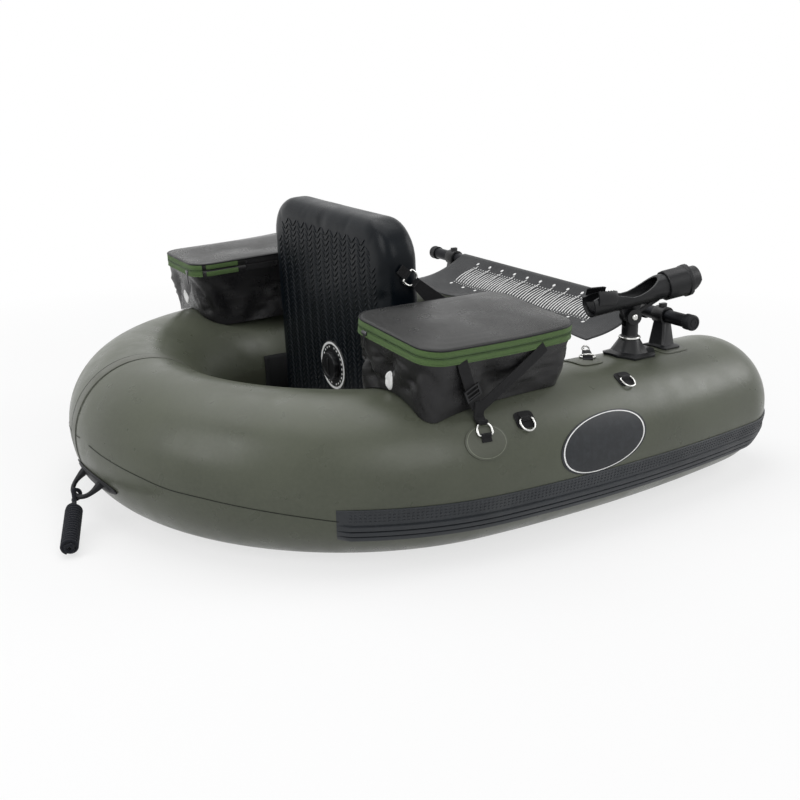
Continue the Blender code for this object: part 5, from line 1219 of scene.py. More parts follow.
def wrinkle(place, seed):
    """Creases of slack cloth: long soft folds and a few sharper ones, in metres."""
    soft = noise.noise(Vector((place.x * 14, place.y * 14, place.z * 5)) + Vector((seed, 0, 0)))
    sharp = noise.noise(Vector((place.x * 30 + place.z * 22, place.y * 30, place.z * 16))
                        + Vector((0, seed, 0)))
    crease = 1 - min(abs(sharp) * 5, 1)
    return soft * 0.0095 - crease * 0.0042


def bag_floor(side, share):
    """Ring of the floor at a share of its size, sagging, and resting on the arm."""
    ring = []
    for p in bag_outline(BAG_TAPER):
        across = p.y * share / (BAG_WIDTH / 2)
        drop = -BAG_HEIGHT + BAG_SAG - BAG_SAG * across ** 2
        point = bag_frame(side) @ Vector((p.x * share, p.y * share, drop))
        point.z = max(point.z, hull_top(point.x, point.y) + BAG_RESTS[side])
        ring.append(point)
    return ring


def closed_over(made, centre, reach):
    """Fills the opening round a point, and leaves the shape's other openings."""
    shape = bmesh.new()
    shape.from_mesh(made.data)
    edge = [e for e in shape.edges if e.is_boundary and (e.verts[0].co - centre).length < reach]
    bmesh.ops.holes_fill(shape, edges=edge, sides=0)
    shape.to_mesh(made.data)
    shape.free()


def bag_body(side_name, side):
    """Soft tub: a straight band at the rim, creased walls and a floor that rests on the arm."""
    place = bag_frame(side)
    rim, low = bag_outline(0), bag_floor(side, 1.0)
    rings = [[place @ Vector((p.x, p.y, rim_wave(p.x, p.y, side) - drop)) for p in rim]
             for drop in (0, BAG_BAND * 0.5, BAG_BAND)]
    seed = 3.7 if side == RIGHT else 8.1
    for k in range(1, WALL_LEVELS):
        share = k / WALL_LEVELS
        ring = []
        for n, (p, q) in enumerate(zip(rim, low)):
            top = place @ Vector((p.x, p.y, rim_wave(p.x, p.y, side) - BAG_BAND))
            point = top.lerp(q, share)
            middle = place @ Vector((p.x * 0.3, p.y * 0.3, -BAG_BAND))
            out = point - middle
            out.z = 0
            out.normalize()
            slack = sin(pi * share) ** 0.8
            point += out * (slack * (wrinkle(point, seed) - 0.001)
                            - fold_depth(n / len(rim), share, side) * min(1, slack * 1.5))
            ring.append(point)
        rings.append(ring)
    rings.append(low)
    rings += [bag_floor(side, share) for share in (0.94, 0.85, 0.7, 0.5, 0.3, 0.1)]
    made = skin("bag_tub_" + side_name, rings, 60, caps=False)
    closed_over(made, rings[-1][0], 0.1)
    return paint(finished(made, ("SOLIDIFY", {"thickness": 0.0018, "offset": -1})), bag_look)


def spun_outline(side, inset):
    """Bag outline counted from the middle of the hinge side, so the zip has two ends."""
    outline = bag_outline(inset)
    middle = Vector((0, -side * BAG_WIDTH / 2))
    first = min(range(len(outline)), key=lambda k: (outline[k] - middle).length)
    return outline[first:] + outline[:first]


ZIP_START, ZIP_END, HINGE_GAP = 0.135, 0.865, 0.0026
ZIP_TURN = {RIGHT: (0.070, ZIP_START), LEFT: (ZIP_END, 0.945)}


def band(name, side, section, look, ends=None, sharp=40):
    """Strip round the rim; section is (outward, height) pairs in the bag's frame."""
    start, end = ends or (ZIP_START, ZIP_END)
    place = bag_frame(side)
    outline = spun_outline(side, 0)
    total = lengths_along(outline + [outline[0]])
    rings = []
    count = len(outline)
    for k in range(count + 1):
        share = total[k] / total[-1]
        if not start - 1e-6 <= share <= end + 1e-6:
            continue
        p, a, b = outline[k % count], outline[(k + 1) % count], outline[k - 1]
        out = Vector((a.y - b.y, b.x - a.x)).normalized()
        wave = rim_wave(p.x, p.y, side)
        rings.append([place @ Vector((p.x + out.x * o, p.y + out.y * o, z + wave))
                      for o, z in section])
    whole = end - start > 0.999
    made = skin(name, rings[:-1] if whole else rings, sharp, loop=whole)
    return paint(made, look)


def zip_tape(name, side, low, high, look, ends=None):
    middle = (low + high) / 2
    section = ((0.0002, low), (0.0012, low), (0.0018, low + 0.0012), (0.0020, middle),
               (0.0018, high - 0.0012), (0.0012, high), (0.0002, high))
    return band(name, side, section, look, ends)


def bag_lid(side_name, side):
    """Stiffened lid: a skirt, a rounded shoulder and a crowned top with a few dents."""
    place = bag_frame(side)
    seed = 1.3 if side == RIGHT else 5.9

    def ring(inset, z, share=1.0):
        row = []
        for p in bag_outline(inset):
            spot = Vector((p.x * share, p.y * share, z))
            edge = max(abs(spot.x) / (BAG_LENGTH / 2), abs(spot.y) / (BAG_WIDTH / 2))
            calm = 1 - edge ** 6
            spot.z += 0.0042 * calm * noise.noise(Vector((spot.x * 9 + seed, spot.y * 9, 0)))
            spot.z += rim_wave(spot.x, spot.y, side) * share
            row.append(place @ spot)
        return row

    top = LID_HEIGHT
    rings = [ring(0, FIT), ring(0, top * 0.45), ring(0, top - 0.003), ring(0.0010, top - 0.0008),
             ring(0.003, top)]
    for share in (0.97, 0.93, 0.87, 0.8, 0.7, 0.6, 0.5, 0.4, 0.3, 0.2, 0.1, 0.03):
        rings.append(ring(0.003, top + LID_CROWN * (1 - share ** 2.5), share))
    made = skin("bag_lid_shell_" + side_name, rings, 60, caps=False)
    closed_over(made, rings[-1][0], 0.03)
    return paint(finished(made, ("SOLIDIFY", {"thickness": 0.0022, "offset": -1})), lid_look)


print("bag rims at z =", BAG_RIMS)

# %% [markdown]
# The zip's teeth are two rows of small blocks from the repeat tree, one on the tub and one
# on the lid, so that they part when the lid opens. A round black piping edges the lid, and
# a plain cloth band on the hinge side closes the ring of the rim.

# %% Bags
TAPE_TOP, HINGE_TOP, HINGE_PROUD = LID_HEIGHT - 0.0030, LID_HEIGHT - 0.0035, 0.0011
HINGE_HALF, CORD_R, TEETH_OUT = 0.0015, 0.0019, 0.0016
EDGE_SECTION = ((0.0014, -BAG_BAND - 0.0006), (0.0026, -BAG_BAND - 0.0002),
                (0.0026, -BAG_BAND + 0.0014), (0.0014, -BAG_BAND + 0.0018))
PIPING = [(0.0004 + CORD_R * cos(a), LID_HEIGHT - 0.0022 + CORD_R * sin(a)) for a in circle(10)]
OVAL_WIDE, OVAL_HIGH, OVAL_DROP, OVAL_SIDES = 0.0130, 0.0175, -0.080, 40
OVAL_ACROSS = {RIGHT: 0.006, LEFT: 0.010}


def hinge_strips(side, low, high):
    """Plain cloth that closes the rim's ring on the hinge side, in two lengths."""
    turn = ZIP_TURN[side]
    section = ((0.0002, low), (HINGE_PROUD, low), (HINGE_PROUD, high), (0.0002, high))
    return [band("hinge", side, section, bag_look, ends)
            for ends in ((0.0, min(turn[0], ZIP_START)), (max(turn[1], ZIP_END), 1.0))]


def teeth(side, z):
    """One row of teeth along the open part of the rim."""
    place = bag_frame(side)
    outline = spun_outline(side, -TEETH_OUT)
    total = lengths_along(outline + [outline[0]])
    line = []
    for k, p in enumerate(outline):
        if ZIP_START <= total[k] / total[-1] <= ZIP_END:
            a, b = outline[(k + 1) % len(outline)], outline[k - 1]
            out = Vector((a.y - b.y, b.x - a.x, 0)).normalized()
            line.append((place @ Vector((p.x, p.y, z + rim_wave(p.x, p.y, side))),
                         place.to_3x3() @ out))
    return repeated("teeth", [line], teeth_look, spacing=0.0026, long=0.0014, wide=0.0022,
                    high=0.0014, soften=0)


def blank_oval(side_name, side, tub):
    """Small oval patch, laid on the creased rear wall by rays."""
    place = bag_frame(side)
    turn = place.to_3x3()
    near = place @ Vector((-BAG_LENGTH / 2 - 0.05, OVAL_ACROSS[side], OVAL_DROP))
    inward = (turn @ Vector((1, 0, 0))).normalized()
    rings = []
    for share in (0.0, 0.2, 0.4, 0.6, 0.75, 0.88, 1.0):
        wide, high = OVAL_WIDE * max(share, 0.01), OVAL_HIGH * max(share, 0.01)
        spots = [near + turn @ Vector((0, wide * cos(a), high * sin(a)))
                 for a in circle(OVAL_SIDES)]
        hits = surface_hits(tub, spots, inward)
        proud = 0.0016 if share < 0.9 else 0.0004
        rings.append([hit[0] - inward * proud for hit in hits])
    if all(len(ring) == OVAL_SIDES for ring in rings):
        oval = skin("bag_blank_patch_" + side_name, rings, 50, caps=False)
        hand_over(paint(oval, white_look), "hull", "bag_pvc")


for side_name, side in SIDES:
    tub = bag_body(side_name, side)
    lid = bag_lid(side_name, side)
    turn = ZIP_TURN[side]
    low_tape = zip_tape("tape_low", side, -BAG_BAND, -0.0002, zip_look)
    low_turn = zip_tape("tape_low", side, -BAG_BAND, -HINGE_GAP, zip_look, turn)
    low_edge = band("edge_low", side, EDGE_SECTION, zip_look)
    tub_trim = joined("bag_zip_low_" + side_name, low_tape, low_turn, low_edge,
                      teeth(side, -0.0016), *hinge_strips(side, -BAG_BAND, -HINGE_HALF))
    high_tape = zip_tape("tape_high", side, 0.0005, TAPE_TOP, zip_look)
    high_turn = zip_tape("tape_high", side, HINGE_GAP, TAPE_TOP, zip_look, turn)
    piping = band("piping", side, PIPING, piping_look, (0.0, 1.0), 80)
    lid_trim = joined("bag_zip_high_" + side_name, high_tape, high_turn, teeth(side, 0.0020),
                      piping, *hinge_strips(side, HINGE_HALF, HINGE_TOP))
    hand_over(tub, "hull", "bag_pvc", "bag_body_" + side_name)
    hand_over(tub_trim, "hull", "bag_pvc")
    hand_over(lid, "bag_lid_" + side_name, "bag_lid_pvc", "bag_lid_" + side_name)
    hand_over(lid_trim, "bag_lid_" + side_name, "bag_lid_pvc")
    blank_oval(side_name, side, tub)
print("bags done")

# %% [markdown]
# The D-rings are bent steel wire, so each is a wire swept along its own line. Its bar sits
# under an arch of webbing sewn to a patch on the skin. Rings that swing ride on their own
# bodies; the others stay with the hull.

# %% Rings and their patches
RING_WIDTH, RING_REACH, RING_WIRE = 0.034, 0.026, 0.0020
PAD_THICK, PAD_ROUND, TAB_LONG, TAB_WIDE = 0.0018, 0.033, 0.020, 0.017
RING_SPOTS = (
    ("bag_ring", PART_SHIFT - 0.1 * HULL_LENGTH, 35, 90, PAD_ROUND, PAD_ROUND, 2.0,
     (0, -PAD_ROUND * 0.35)),
    ("side_ring", PART_SHIFT - 0.0414 * HULL_LENGTH, 41, -90, TAB_LONG, TAB_WIDE, 4.0, (0, 0)),
    ("gear_ring", PART_SHIFT + 0.15 * HULL_LENGTH, 57, -90, TAB_LONG, TAB_WIDE, 4.0, (0, 0)),
    ("apron_ring", PART_SHIFT + 0.14 * HULL_LENGTH, 92, 48, PAD_ROUND, PAD_ROUND, 4.0,
     (-PAD_ROUND * 0.4, 0)),
)
RING_LIFT = FIT + PAD_THICK + FIT + RING_WIRE


def ring_axes(side, x, angle, lie):
    point, forward, around, normal = surface_axes(side, x, radians(angle))
    return frame_matrix(point, forward * cos(radians(lie)) + around * sin(radians(lie)), normal)


def ring_line(lie, lift):
    """D shape: a straight bar with rounded corners and a round bow."""
    half = RING_WIDTH / 2 - RING_WIRE
    reach = RING_REACH - half - RING_WIRE
    corner = 0.004
    knots = [(0, y) for y in (-half * 0.72, -half * 0.36, 0, half * 0.36, half * 0.72)]
    knots += [(corner * (1 - cos(a)), half - corner + corner * sin(a))
              for a in (radians(t) for t in (15, 45, 75))]
    knots += [(corner + (reach - corner) * k / 2, half) for k in (1, 2)]
    knots += [(reach + half * sin(a), half * cos(a)) for a in (pi * k / 16 for k in range(1, 16))]
    knots += [(x, -y) for x, y in reversed(knots[5:10])]
    return [lie @ Vector((x, y, lift)) for x, y in knots]


def webbing_arch(name, lie, base, inner, long, wide):
    """Webbing folded over a ring's bar, its ends sewn flat behind it."""
    wall = 0.0013
    outer = inner + wall
    top = [(-long, base + wall), (-long * 0.6, base + wall), (-outer * 1.5, base + wall * 1.6)]
    top += [(outer * cos(a), base + inner + outer * sin(a)) for a in
            (pi - 0.5 - (pi - 0.5) * k / 10 for k in range(11))] + [(outer, base)]
    under = [(inner, base)] + [(inner * cos(a), base + inner + inner * sin(a)) for a in
                               (pi * k / 10 for k in range(1, 10))]
    under += [(-inner, base), (-long * 0.6, base), (-long, base)]
    outline = top + under
    rings = [[lie @ Vector((x, y, z)) for x, z in outline]
             for y in (-wide / 2, -wide / 2 + 0.0006, 0, wide / 2 - 0.0006, wide / 2)]
    return paint(skin(name, rings, 40), strap_look)


for side_name, side in SIDES:
    for name, x, angle, lie_angle, half_along, half_around, power, shift in RING_SPOTS:
        tail = "_" + side_name
        look = strap_look if half_along == TAB_LONG else pad_look
        spot = (side, x + shift[0], radians(angle) + shift[1] / TUBE_R)
        parts = [patch(name + "_pad", *spot, half_along, half_around, power, PAD_THICK, look)]
        if look is pad_look:
            parts.append(patch("edge", *spot, half_along * 0.92, half_around * 0.92, power, 0.0003,
                               tape_edge_look, 0.0, FIT + PAD_THICK - 0.0001, (0.965, 1.0), False))
        lie = ring_axes(side, x, angle, lie_angle)
        parts.append(webbing_arch("arch", lie, FIT + PAD_THICK * 0.9, RING_WIRE + FIT, 0.013,
                                  0.020))
        base = joined(name + "_patch" + tail, *parts)
        ring = paint(wire(name + "_wire" + tail, ring_line(lie, RING_LIFT), RING_WIRE, 14),
                     steel_look)
        hand_over(base, "hull", "pad_pvc" if look is pad_look else "webbing",
                  name + "_pad" + tail)
        swings = name in ("side_ring", "gear_ring")
        hand_over(ring, name + tail if swings else "hull", "stainless", name + tail)
print("rings done")

# %% [markdown]
# Flat webbing is swept along its line with the weave in its own UVs. A curve with a flat
# bevel would roll where it bends; here each stop says which way the width lies. The bag
# straps run from the zip band down to the ring in a V; the rear leg carries a ladder lock to
# pull it tight.

# %% Straps
def ribbon(name, stops, widths, thick, across_hint, look):
    """Webbing along stops; across_hint gives the width's direction at each stop."""
    rings = []
    count = len(stops)
    section = ((-0.5, 0), (-0.49, 0.5), (-0.44, 0.56), (-0.38, 0.44), (0, 0.44), (0.38, 0.44),
               (0.44, 0.56), (0.49, 0.5), (0.5, 0), (0.49, -0.5), (0.44, -0.5), (0, -0.44),
               (-0.44, -0.5), (-0.49, -0.5))
    for k, point in enumerate(stops):
        along = (stops[min(k + 1, count - 1)] - stops[max(k - 1, 0)]).normalized()
        hint = across_hint[k] if isinstance(across_hint, list) else across_hint
        across = (hint - along * hint.dot(along)).normalized()
        normal = across.cross(along)
        rings.append([point + across * (a * widths[k]) + normal * (b * thick) for a, b in section])
    return paint(skin(name, rings, 40), look)


def fold_round(middle, lie, width, start, end):
    """Webbing turned back round a ring's wire, from one angle to another."""
    turn = lie.to_3x3()
    wrap = [middle + turn @ Vector((FOLD_R * cos(a), 0, FOLD_R * sin(a)))
            for a in (radians(t) for t in range(start, end, 20))]
    return ribbon("fold", wrap, [width] * len(wrap), FOLD_THICK, turn @ Vector((0, 1, 0)),
                  strap_look)


STRAP_THICK, BAG_STRAP_WIDE, FOLD_R, FOLD_THICK = 0.0022, 0.024, 0.0036, 0.0016
STRAP_REAR, STRAP_FRONT, STRAP_JOIN, LOCK_SHARE = 0.104, 0.088, 0.74, 0.66
RAIL_SECTION = ((-0.0020, -0.0012), (0.0020, -0.0012), (0.0020, 0.0026), (-0.0020, 0.0026))
RAIL_Y, RAIL_STOPS = 0.0150, (-0.0125, -0.0118, 0.0118, 0.0125)


def bag_strap(side_name, side):
    """V of webbing on the bag's outer wall, down to its ring, with a ladder lock."""
    place = bag_frame(side)
    turn = place.to_3x3()
    lie = ring_axes(side, *RING_SPOTS[0][1:4])
    bow = lie @ Vector((RING_REACH - RING_WIRE, 0, RING_LIFT))
    foot_x = (place.inverted() @ bow).x
    proud = FIT + STRAP_THICK / 2 + 0.0006
    out_top = side * (BAG_WIDTH / 2 + proud)
    hem_z = -BAG_HEIGHT + BAG_WALL
    top_z = -BAG_BAND - FIT

    def at(x, share, extra=0.0):
        y = out_top + side * (-BAG_TAPER + 0.016) * share
        point = place @ Vector((x, y + side * extra, top_z + (hem_z - top_z) * share))
        point.z = max(point.z, hull_top(point.x, point.y) + 0.0075)
        return point

    def along_leg(start, sign, share, extra):
        """Point on a leg of the V at a share of its way down, and the leg's heading."""
        x = start + (foot_x + sign * 0.004 - start) * share ** 1.05
        heading = Vector((foot_x - start, 0, (hem_z - top_z) * STRAP_JOIN)).normalized()
        return at(x, STRAP_JOIN * share, extra), heading

    legs = []
    for start, sign in ((-STRAP_REAR, -1), (STRAP_FRONT, 1)):
        stops, hints = [], []
        for k in range(13):
            point, heading = along_leg(start, sign, k / 12, 0.0012 * (sign > 0) * (k / 12))
            stops.append(point)
            hints.append(turn @ Vector((-heading.z, 0, heading.x)))
        legs.append(ribbon("leg", stops, [BAG_STRAP_WIDE * 0.92] * 13, 0.0018, hints, strap_look))
    route = smooth_route([at(foot_x, STRAP_JOIN - 0.10, 0.0024), at(foot_x, STRAP_JOIN, 0.0026),
                          at(foot_x, 0.90, 0.002), bow + lie.to_3x3() @ Vector((0.001, 0, 0))], 5)
    widths = [BAG_STRAP_WIDE * (1 - 0.12 * k / len(route)) for k in range(len(route))]
    down = ribbon("down", route, widths, STRAP_THICK, turn @ Vector((1, 0, 0)), strap_look)
    fold = fold_round(bow, lie, BAG_STRAP_WIDE * 0.84, 20, 341)
    whole = joined("bag_webbing_" + side_name, *legs, down, fold)
    hand_over(whole, "hull", "webbing", "bag_strap_" + side_name)
    spot, heading = along_leg(-STRAP_REAR, -1, LOCK_SHARE, 0.0022)
    lock = frame_matrix(spot, turn @ heading, turn @ Vector((0, side, 0)))
    bars = [skin("rail", [[lock @ Vector((x, y0 + y, z)) for y, z in RAIL_SECTION]
                          for x in RAIL_STOPS], 30) for y0 in (-RAIL_Y, RAIL_Y)]
    for x in (-0.0108, -0.0022, 0.0062, 0.0112):
        bars.append(skin("rung", [[lock @ Vector((x + 0.0017 * cos(a), y, 0.0014 + 0.0015 * sin(a)))
                                   for a in circle(10)] for y in (-RAIL_Y, RAIL_Y)], 50))
    buckle = joined("ladder_lock_" + side_name, *[paint(bar, black_look) for bar in bars])
    hand_over(buckle, "hull", "black_plastic")


for side_name, side in SIDES:
    bag_strap(side_name, side)

BACK_STRAP_X, BACK_STRAP_ANGLE = PART_SHIFT + 0.1071 * HULL_LENGTH, radians(35)
BACK_STRAP_WIDE = 0.038
RING_SHARE = 0.78


def back_strap(side_name, side):
    """Strap from the backrest's side ring to the arm's inner side, with its ring and tab."""
    spot = back_frame @ Vector((-BACK_THICK / 2, side * BACK_WIDTH / 2, BACK_HEIGHT * RING_SHARE))
    s = s_at(BACK_STRAP_X)
    anchor = hull_point(side, s, pi - BACK_STRAP_ANGLE, FIT + STRAP_THICK / 2)
    toward = anchor - spot
    toward.y = 0
    lie = frame_matrix(spot, toward, (0, side, 0))
    lift = 0.002 + FIT + RING_WIRE
    ring = paint(wire("backrest_wire_" + side_name, ring_line(lie, lift), RING_WIRE, 14),
                 steel_look)
    tab = webbing_arch("backrest_loop_" + side_name, lie, FIT + 0.0002, RING_WIRE + FIT, TAB_LONG,
                       0.020)
    hand_over(ring, "backrest", "stainless", "backrest_ring_" + side_name)
    hand_over(tab, "backrest", "webbing", "backrest_tab_" + side_name)
    start = lie @ Vector((RING_REACH - RING_WIRE, 0, lift))
    normal_end = surface_axes(side, BACK_STRAP_X, pi - BACK_STRAP_ANGLE)[3]
    stops, hints, widths = [], [], []
    steps = 28
    width_dir = (anchor - start).cross(Vector((0, 1, 0))).normalized()
    for k in range(steps + 1):
        share = k / steps
        ease = share * share * (3 - 2 * share)
        point = start.lerp(anchor, share)
        point.y = start.y + (anchor.y - start.y) * ease
        near = max(share * 1.6 - 0.6, 0)
        normal = (Vector((0, side, 0)) * (1 - near) - normal_end * near).normalized()
        stops.append(point)
        along = (anchor - start).normalized()
        across = normal.cross(along)
        hints.append(across if across.dot(width_dir) > 0 else -across)
        widths.append(BACK_STRAP_WIDE * (0.55 + 0.45 * min(share * 4, 1)))
    strap = ribbon("strap", stops, widths, STRAP_THICK, hints, strap_look)
    strap = joined("backrest_webbing_" + side_name, strap,
                   fold_round(start, lie, 0.020, -160, 161))
    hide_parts("backrest_strap_" + side_name)
    return strap, start, anchor


for side_name, side in SIDES:
    strap, start, anchor = back_strap(side_name, side)
    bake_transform(strap)
print("straps done")

# %% [markdown]
# The stripping apron is coated cloth wrapped round the crossbar and hung towards the seat.
# Its print is a ruler: a curved tick each centimetre between rows of dots, longer and larger
# at every fifth. Thin bowed strips laid on the cloth make the ticks and the repeat tree the
# dots, because geometry stays sharp where a painted print would blur.

# %% Stripping apron
BAR_X, BAR_R = PART_SHIFT + HULL_LENGTH * 0.2943, 0.0135
BAR_Z = 2 * TIP_R - FLOOR_FLAT + 0.071
APRON_HALF, APRON_RUN, APRON_DROP, APRON_SAG = 0.345, HULL_LENGTH * 0.1071, 0.050, 0.016
APRON_THICK, APRON_WAVE = 0.0024, 0.005
APRON_LEAVE, APRON_WRAP = radians(128), radians(252)


def apron_line(y, steps=32):
    """The apron's line from under the bar, round it and down to the hem."""
    inner = (BAR_R + FIT) / cos(APRON_WRAP / 16) + APRON_THICK / 2
    turns = [APRON_LEAVE - APRON_WRAP + APRON_WRAP * k / 24 for k in range(25)]
    line = [Vector((BAR_X + inner * cos(a), y, BAR_Z + inner * sin(a))) for a in turns]
    start = line[-1]
    across = y / APRON_HALF
    for k in range(1, steps + 1):
        share = k / steps
        sag = APRON_SAG * sin(pi * share) * (1 - 0.3 * across ** 2)
        wave = APRON_WAVE * share * sin(2.5 * pi * across)
        line.append(Vector((start.x - APRON_RUN * share, y,
                            start.z - APRON_DROP * share ** 0.9 - sag + wave)))
    return line


apron_rows = [apron_line(-APRON_HALF + 2 * APRON_HALF * k / 72) for k in range(73)]
apron = paint(cloth_strip("apron_sheet", apron_rows, 0.0014), apron_look)


def on_apron(y, share, lift=0.0):
    """Point on the hanging part at a share of its run, with its normal."""
    line = apron_line(y)[24:]
    place = share * (len(line) - 1)
    k = min(int(place), len(line) - 2)
    point = line[k].lerp(line[k + 1], place - k)
    along = (line[k + 1] - line[k]).normalized()
    normal = Vector((-along.z, 0, along.x))
    if normal.z < 0:
        normal = -normal
    return point + normal * lift, normal


def apron_strip(name, start, end, wide, y_bow, look, high=0.0006, steps=10, taper=0.35):
    """Stroke on the apron from one (y, share) to another, bowed sideways."""
    rings = []
    for k in range(steps + 1):
        t = k / steps
        y = start[0] + (end[0] - start[0]) * t + y_bow * 4 * t * (1 - t)
        share = start[1] + (end[1] - start[1]) * t
        point, normal = on_apron(y, share, 0.0007)
        half = wide / 2 * (1 - taper * abs(2 * t - 1))
        rings.append([point + Vector((0, -half, 0)), point + Vector((0, -half, 0)) + normal * high,
                      point + Vector((0, half, 0)) + normal * high, point + Vector((0, half, 0))])
    return paint(skin(name, rings, 30), look)


TICK_PITCH, TICK_HALF = 0.010, 0.255
ticks = []
for k in range(int(2 * TICK_HALF / TICK_PITCH) + 1):
    y = -TICK_HALF + k * TICK_PITCH
    fifth = k % 5 == 0
    ticks.append(apron_strip("tick", (y, 0.10 if fifth else 0.17), (y, 0.50), 0.0033, 0.009,
                             white_look, 0.0005, 8))
dots = []
for share, pitch, size in ((0.065, 0.050, 0.0105), (0.585, 0.050, 0.0105), (0.145, 0.010, 0.0040),
                           (0.525, 0.010, 0.0040)):
    line = [on_apron(-TICK_HALF + 2 * TICK_HALF * m / 204, share, 0.0008) for m in range(205)]
    dots.append(repeated("dots", [line], white_look, pitch, size, size, high=0.0004))
print_marks = joined("apron_ruler_print", *ticks, *dots)
SEWN_HALF = APRON_HALF - 0.012
hem_lines = [[on_apron(-SEWN_HALF + 2 * SEWN_HALF * m / 60, share, 0.0012) for m in range(61)]
             for share in (0.915, 0.985)]
hem_sewing = repeated("apron_sewing", hem_lines, thread_look, spacing=0.0048, long=0.0032,
                      wide=0.0008, high=0.0006)
HEM_SECTION = ((1.0, -0.0012), (1.006, 0.0), (1.0, 0.0016), (0.96, 0.0019), (0.91, 0.0016),
               (0.90, 0.0007), (0.90, -0.0008), (0.95, -0.0012))
hem_rings = [[on_apron(-APRON_HALF + 2 * APRON_HALF * m / 72, share, rise)[0]
              for share, rise in HEM_SECTION] for m in range(73)]
hem = paint(skin("apron_hem", hem_rings, 50), apron_look)
hand_over(apron, "hull", "apron_pvc", "stripping_apron")
for piece in (print_marks, hem, hem_sewing):
    hand_over(piece, "hull", "apron_pvc")

# %% [markdown]
# A snap hook and a length of webbing pull each corner of the apron to the ring on the arm.
# The hook is bent wire, so two swept wires make it: a loop, and a gate in it.

# %% Apron ties
def apron_tie(side_name, side):
    """Tie and snap hook between the apron's corner and the ring on the arm."""
    lie = ring_axes(side, *RING_SPOTS[3][1:4])
    start = lie @ Vector((RING_REACH + FIT, 0, RING_LIFT))
    corner = apron_line(side * APRON_HALF)[-1]
    end = corner - Vector((FIT + APRON_THICK, 0, 0))
    toward = (end - start).normalized()
    span = (end - start).length
    web = span * 0.42
    turn = frame_matrix(start, toward, UP)
    sag = [turn @ Vector((web * k / 8, 0, 0.0006 * sin(pi * k / 8))) for k in range(9)]
    tie = ribbon("tie", sag, [0.020 - 0.004 * k / 8 for k in range(9)], 0.0026,
                 turn.to_3x3() @ Vector((0, 1, 0)), strap_look)
    tie.name = "apron_webbing_" + side_name
    low, high = web + FIT + 0.0018, span - FIT - 0.0018
    middle, reach = (low + high) / 2, (high - low) / 2
    route = [turn @ Vector((middle + reach * cos(a), 0.0070 * (1 - 0.25 * cos(a)) * sin(a), 0))
             for a in circle(40)]
    loop = paint(wire("loop", route, 0.0018, 12), steel_look)
    gate = [turn @ Vector((middle + reach * x, 0.0060 * y, 0.0004)) for x, y in
            ((-0.55, 0.80), (-0.2, 0.90), (0.2, 0.84), (0.52, 0.66))]
    snap = paint(wire("gate", smooth_route(gate, 4), 0.0022, 10, closed=False), steel_look)
    hook = joined("apron_snap_" + side_name, loop, snap)
    hand_over(tie, "hull", "webbing", "apron_tie_" + side_name)
    hand_over(hook, "hull", "stainless", "apron_hook_" + side_name)


for side_name, side in SIDES:
    apron_tie(side_name, side)
print("ties done")

# %% [markdown]
# The stern handle is one rubber moulding: a long flange glued round the stern and a bowed
# grip standing off it. One cut block would be stiff to shape, so it is two: the flange
# follows the skin, and the grip is a wire that swells into round feet on it.

# %% Stern handle
HANDLE_ANGLE, HANDLE_HALF, HANDLE_WIDE = radians(-24), 0.085, 0.016
HANDLE_THICK, HANDLE_EASE = 0.0040, 0.0005
GRIP_HALF, GRIP_REACH, GRIP_BAR, GRIP_DROOP = 0.036, 0.046, 0.0045, 0.35


def stern_point(across, angle, offset=0.0):
    s = asin(min(abs(across) / ARM_Y, 1)) * 2 / pi
    return hull_point(LEFT if across >= 0 else RIGHT, s, angle, offset)


grip_out = (Vector((-cos(HANDLE_ANGLE), 0, sin(HANDLE_ANGLE))) - UP * GRIP_DROOP).normalized()


def grip_point(turn):
    foot = stern_point(GRIP_HALF * cos(turn), HANDLE_ANGLE, HANDLE_THICK * 0.6)
    return foot + grip_out * (GRIP_REACH * abs(sin(turn)) ** 0.6)


def flange_ring(share, rise, sides=96):
    ring = []
    for turn in circle(sides):
        grow = (abs(cos(turn)) ** 3 + abs(sin(turn)) ** 3) ** (-1 / 3)
        across = HANDLE_HALF * cos(turn) * grow * share
        waist = HANDLE_WIDE * (1 - 0.35 * (across / HANDLE_HALF) ** 2)
        ring.append(stern_point(across, HANDLE_ANGLE + waist * sin(turn) * grow * share / TUBE_R,
                                HANDLE_EASE + rise * HANDLE_THICK))
    return ring


FLANGE_FORM = ((0.1, 0), (0.5, 0), (0.96, 0), (1, 0.1), (1, 0.45), (0.985, 0.62), (0.95, 0.70),
               (0.82, 0.74), (0.79, 1.0), (0.75, 1.1), (0.4, 1.15), (0.1, 1.15))
flange = paint(skin("flange", [flange_ring(*stop) for stop in FLANGE_FORM], 30), rubber_look)
grip_turns = [pi * k / 60 for k in range(61)]
grip_sizes = [GRIP_BAR * (1 + 0.9 * (1 - sin(a)) ** 5 + 0.10 * sin(a) ** 4) for a in grip_turns]
grip = paint(wire("grip", [grip_point(a) for a in grip_turns], grip_sizes, 20, closed=False),
             rubber_look)
handle = joined("stern_handle_moulding", flange, grip)
hand_over(handle, "hull", "black_rubber", "stern_handle")
print("handle faces:", len(handle.data.polygons))

# %% [markdown]
# The tow rope is 8 mm braid made up in a hank: its loop hangs on the grip, and the rest is
# wound round the loop's tail in sixteen turns and finished with a knot. One route runs from
# the grip to the last turn, and its length is the cord's. The other strand of the loop and
# the knot are pieces of their own.

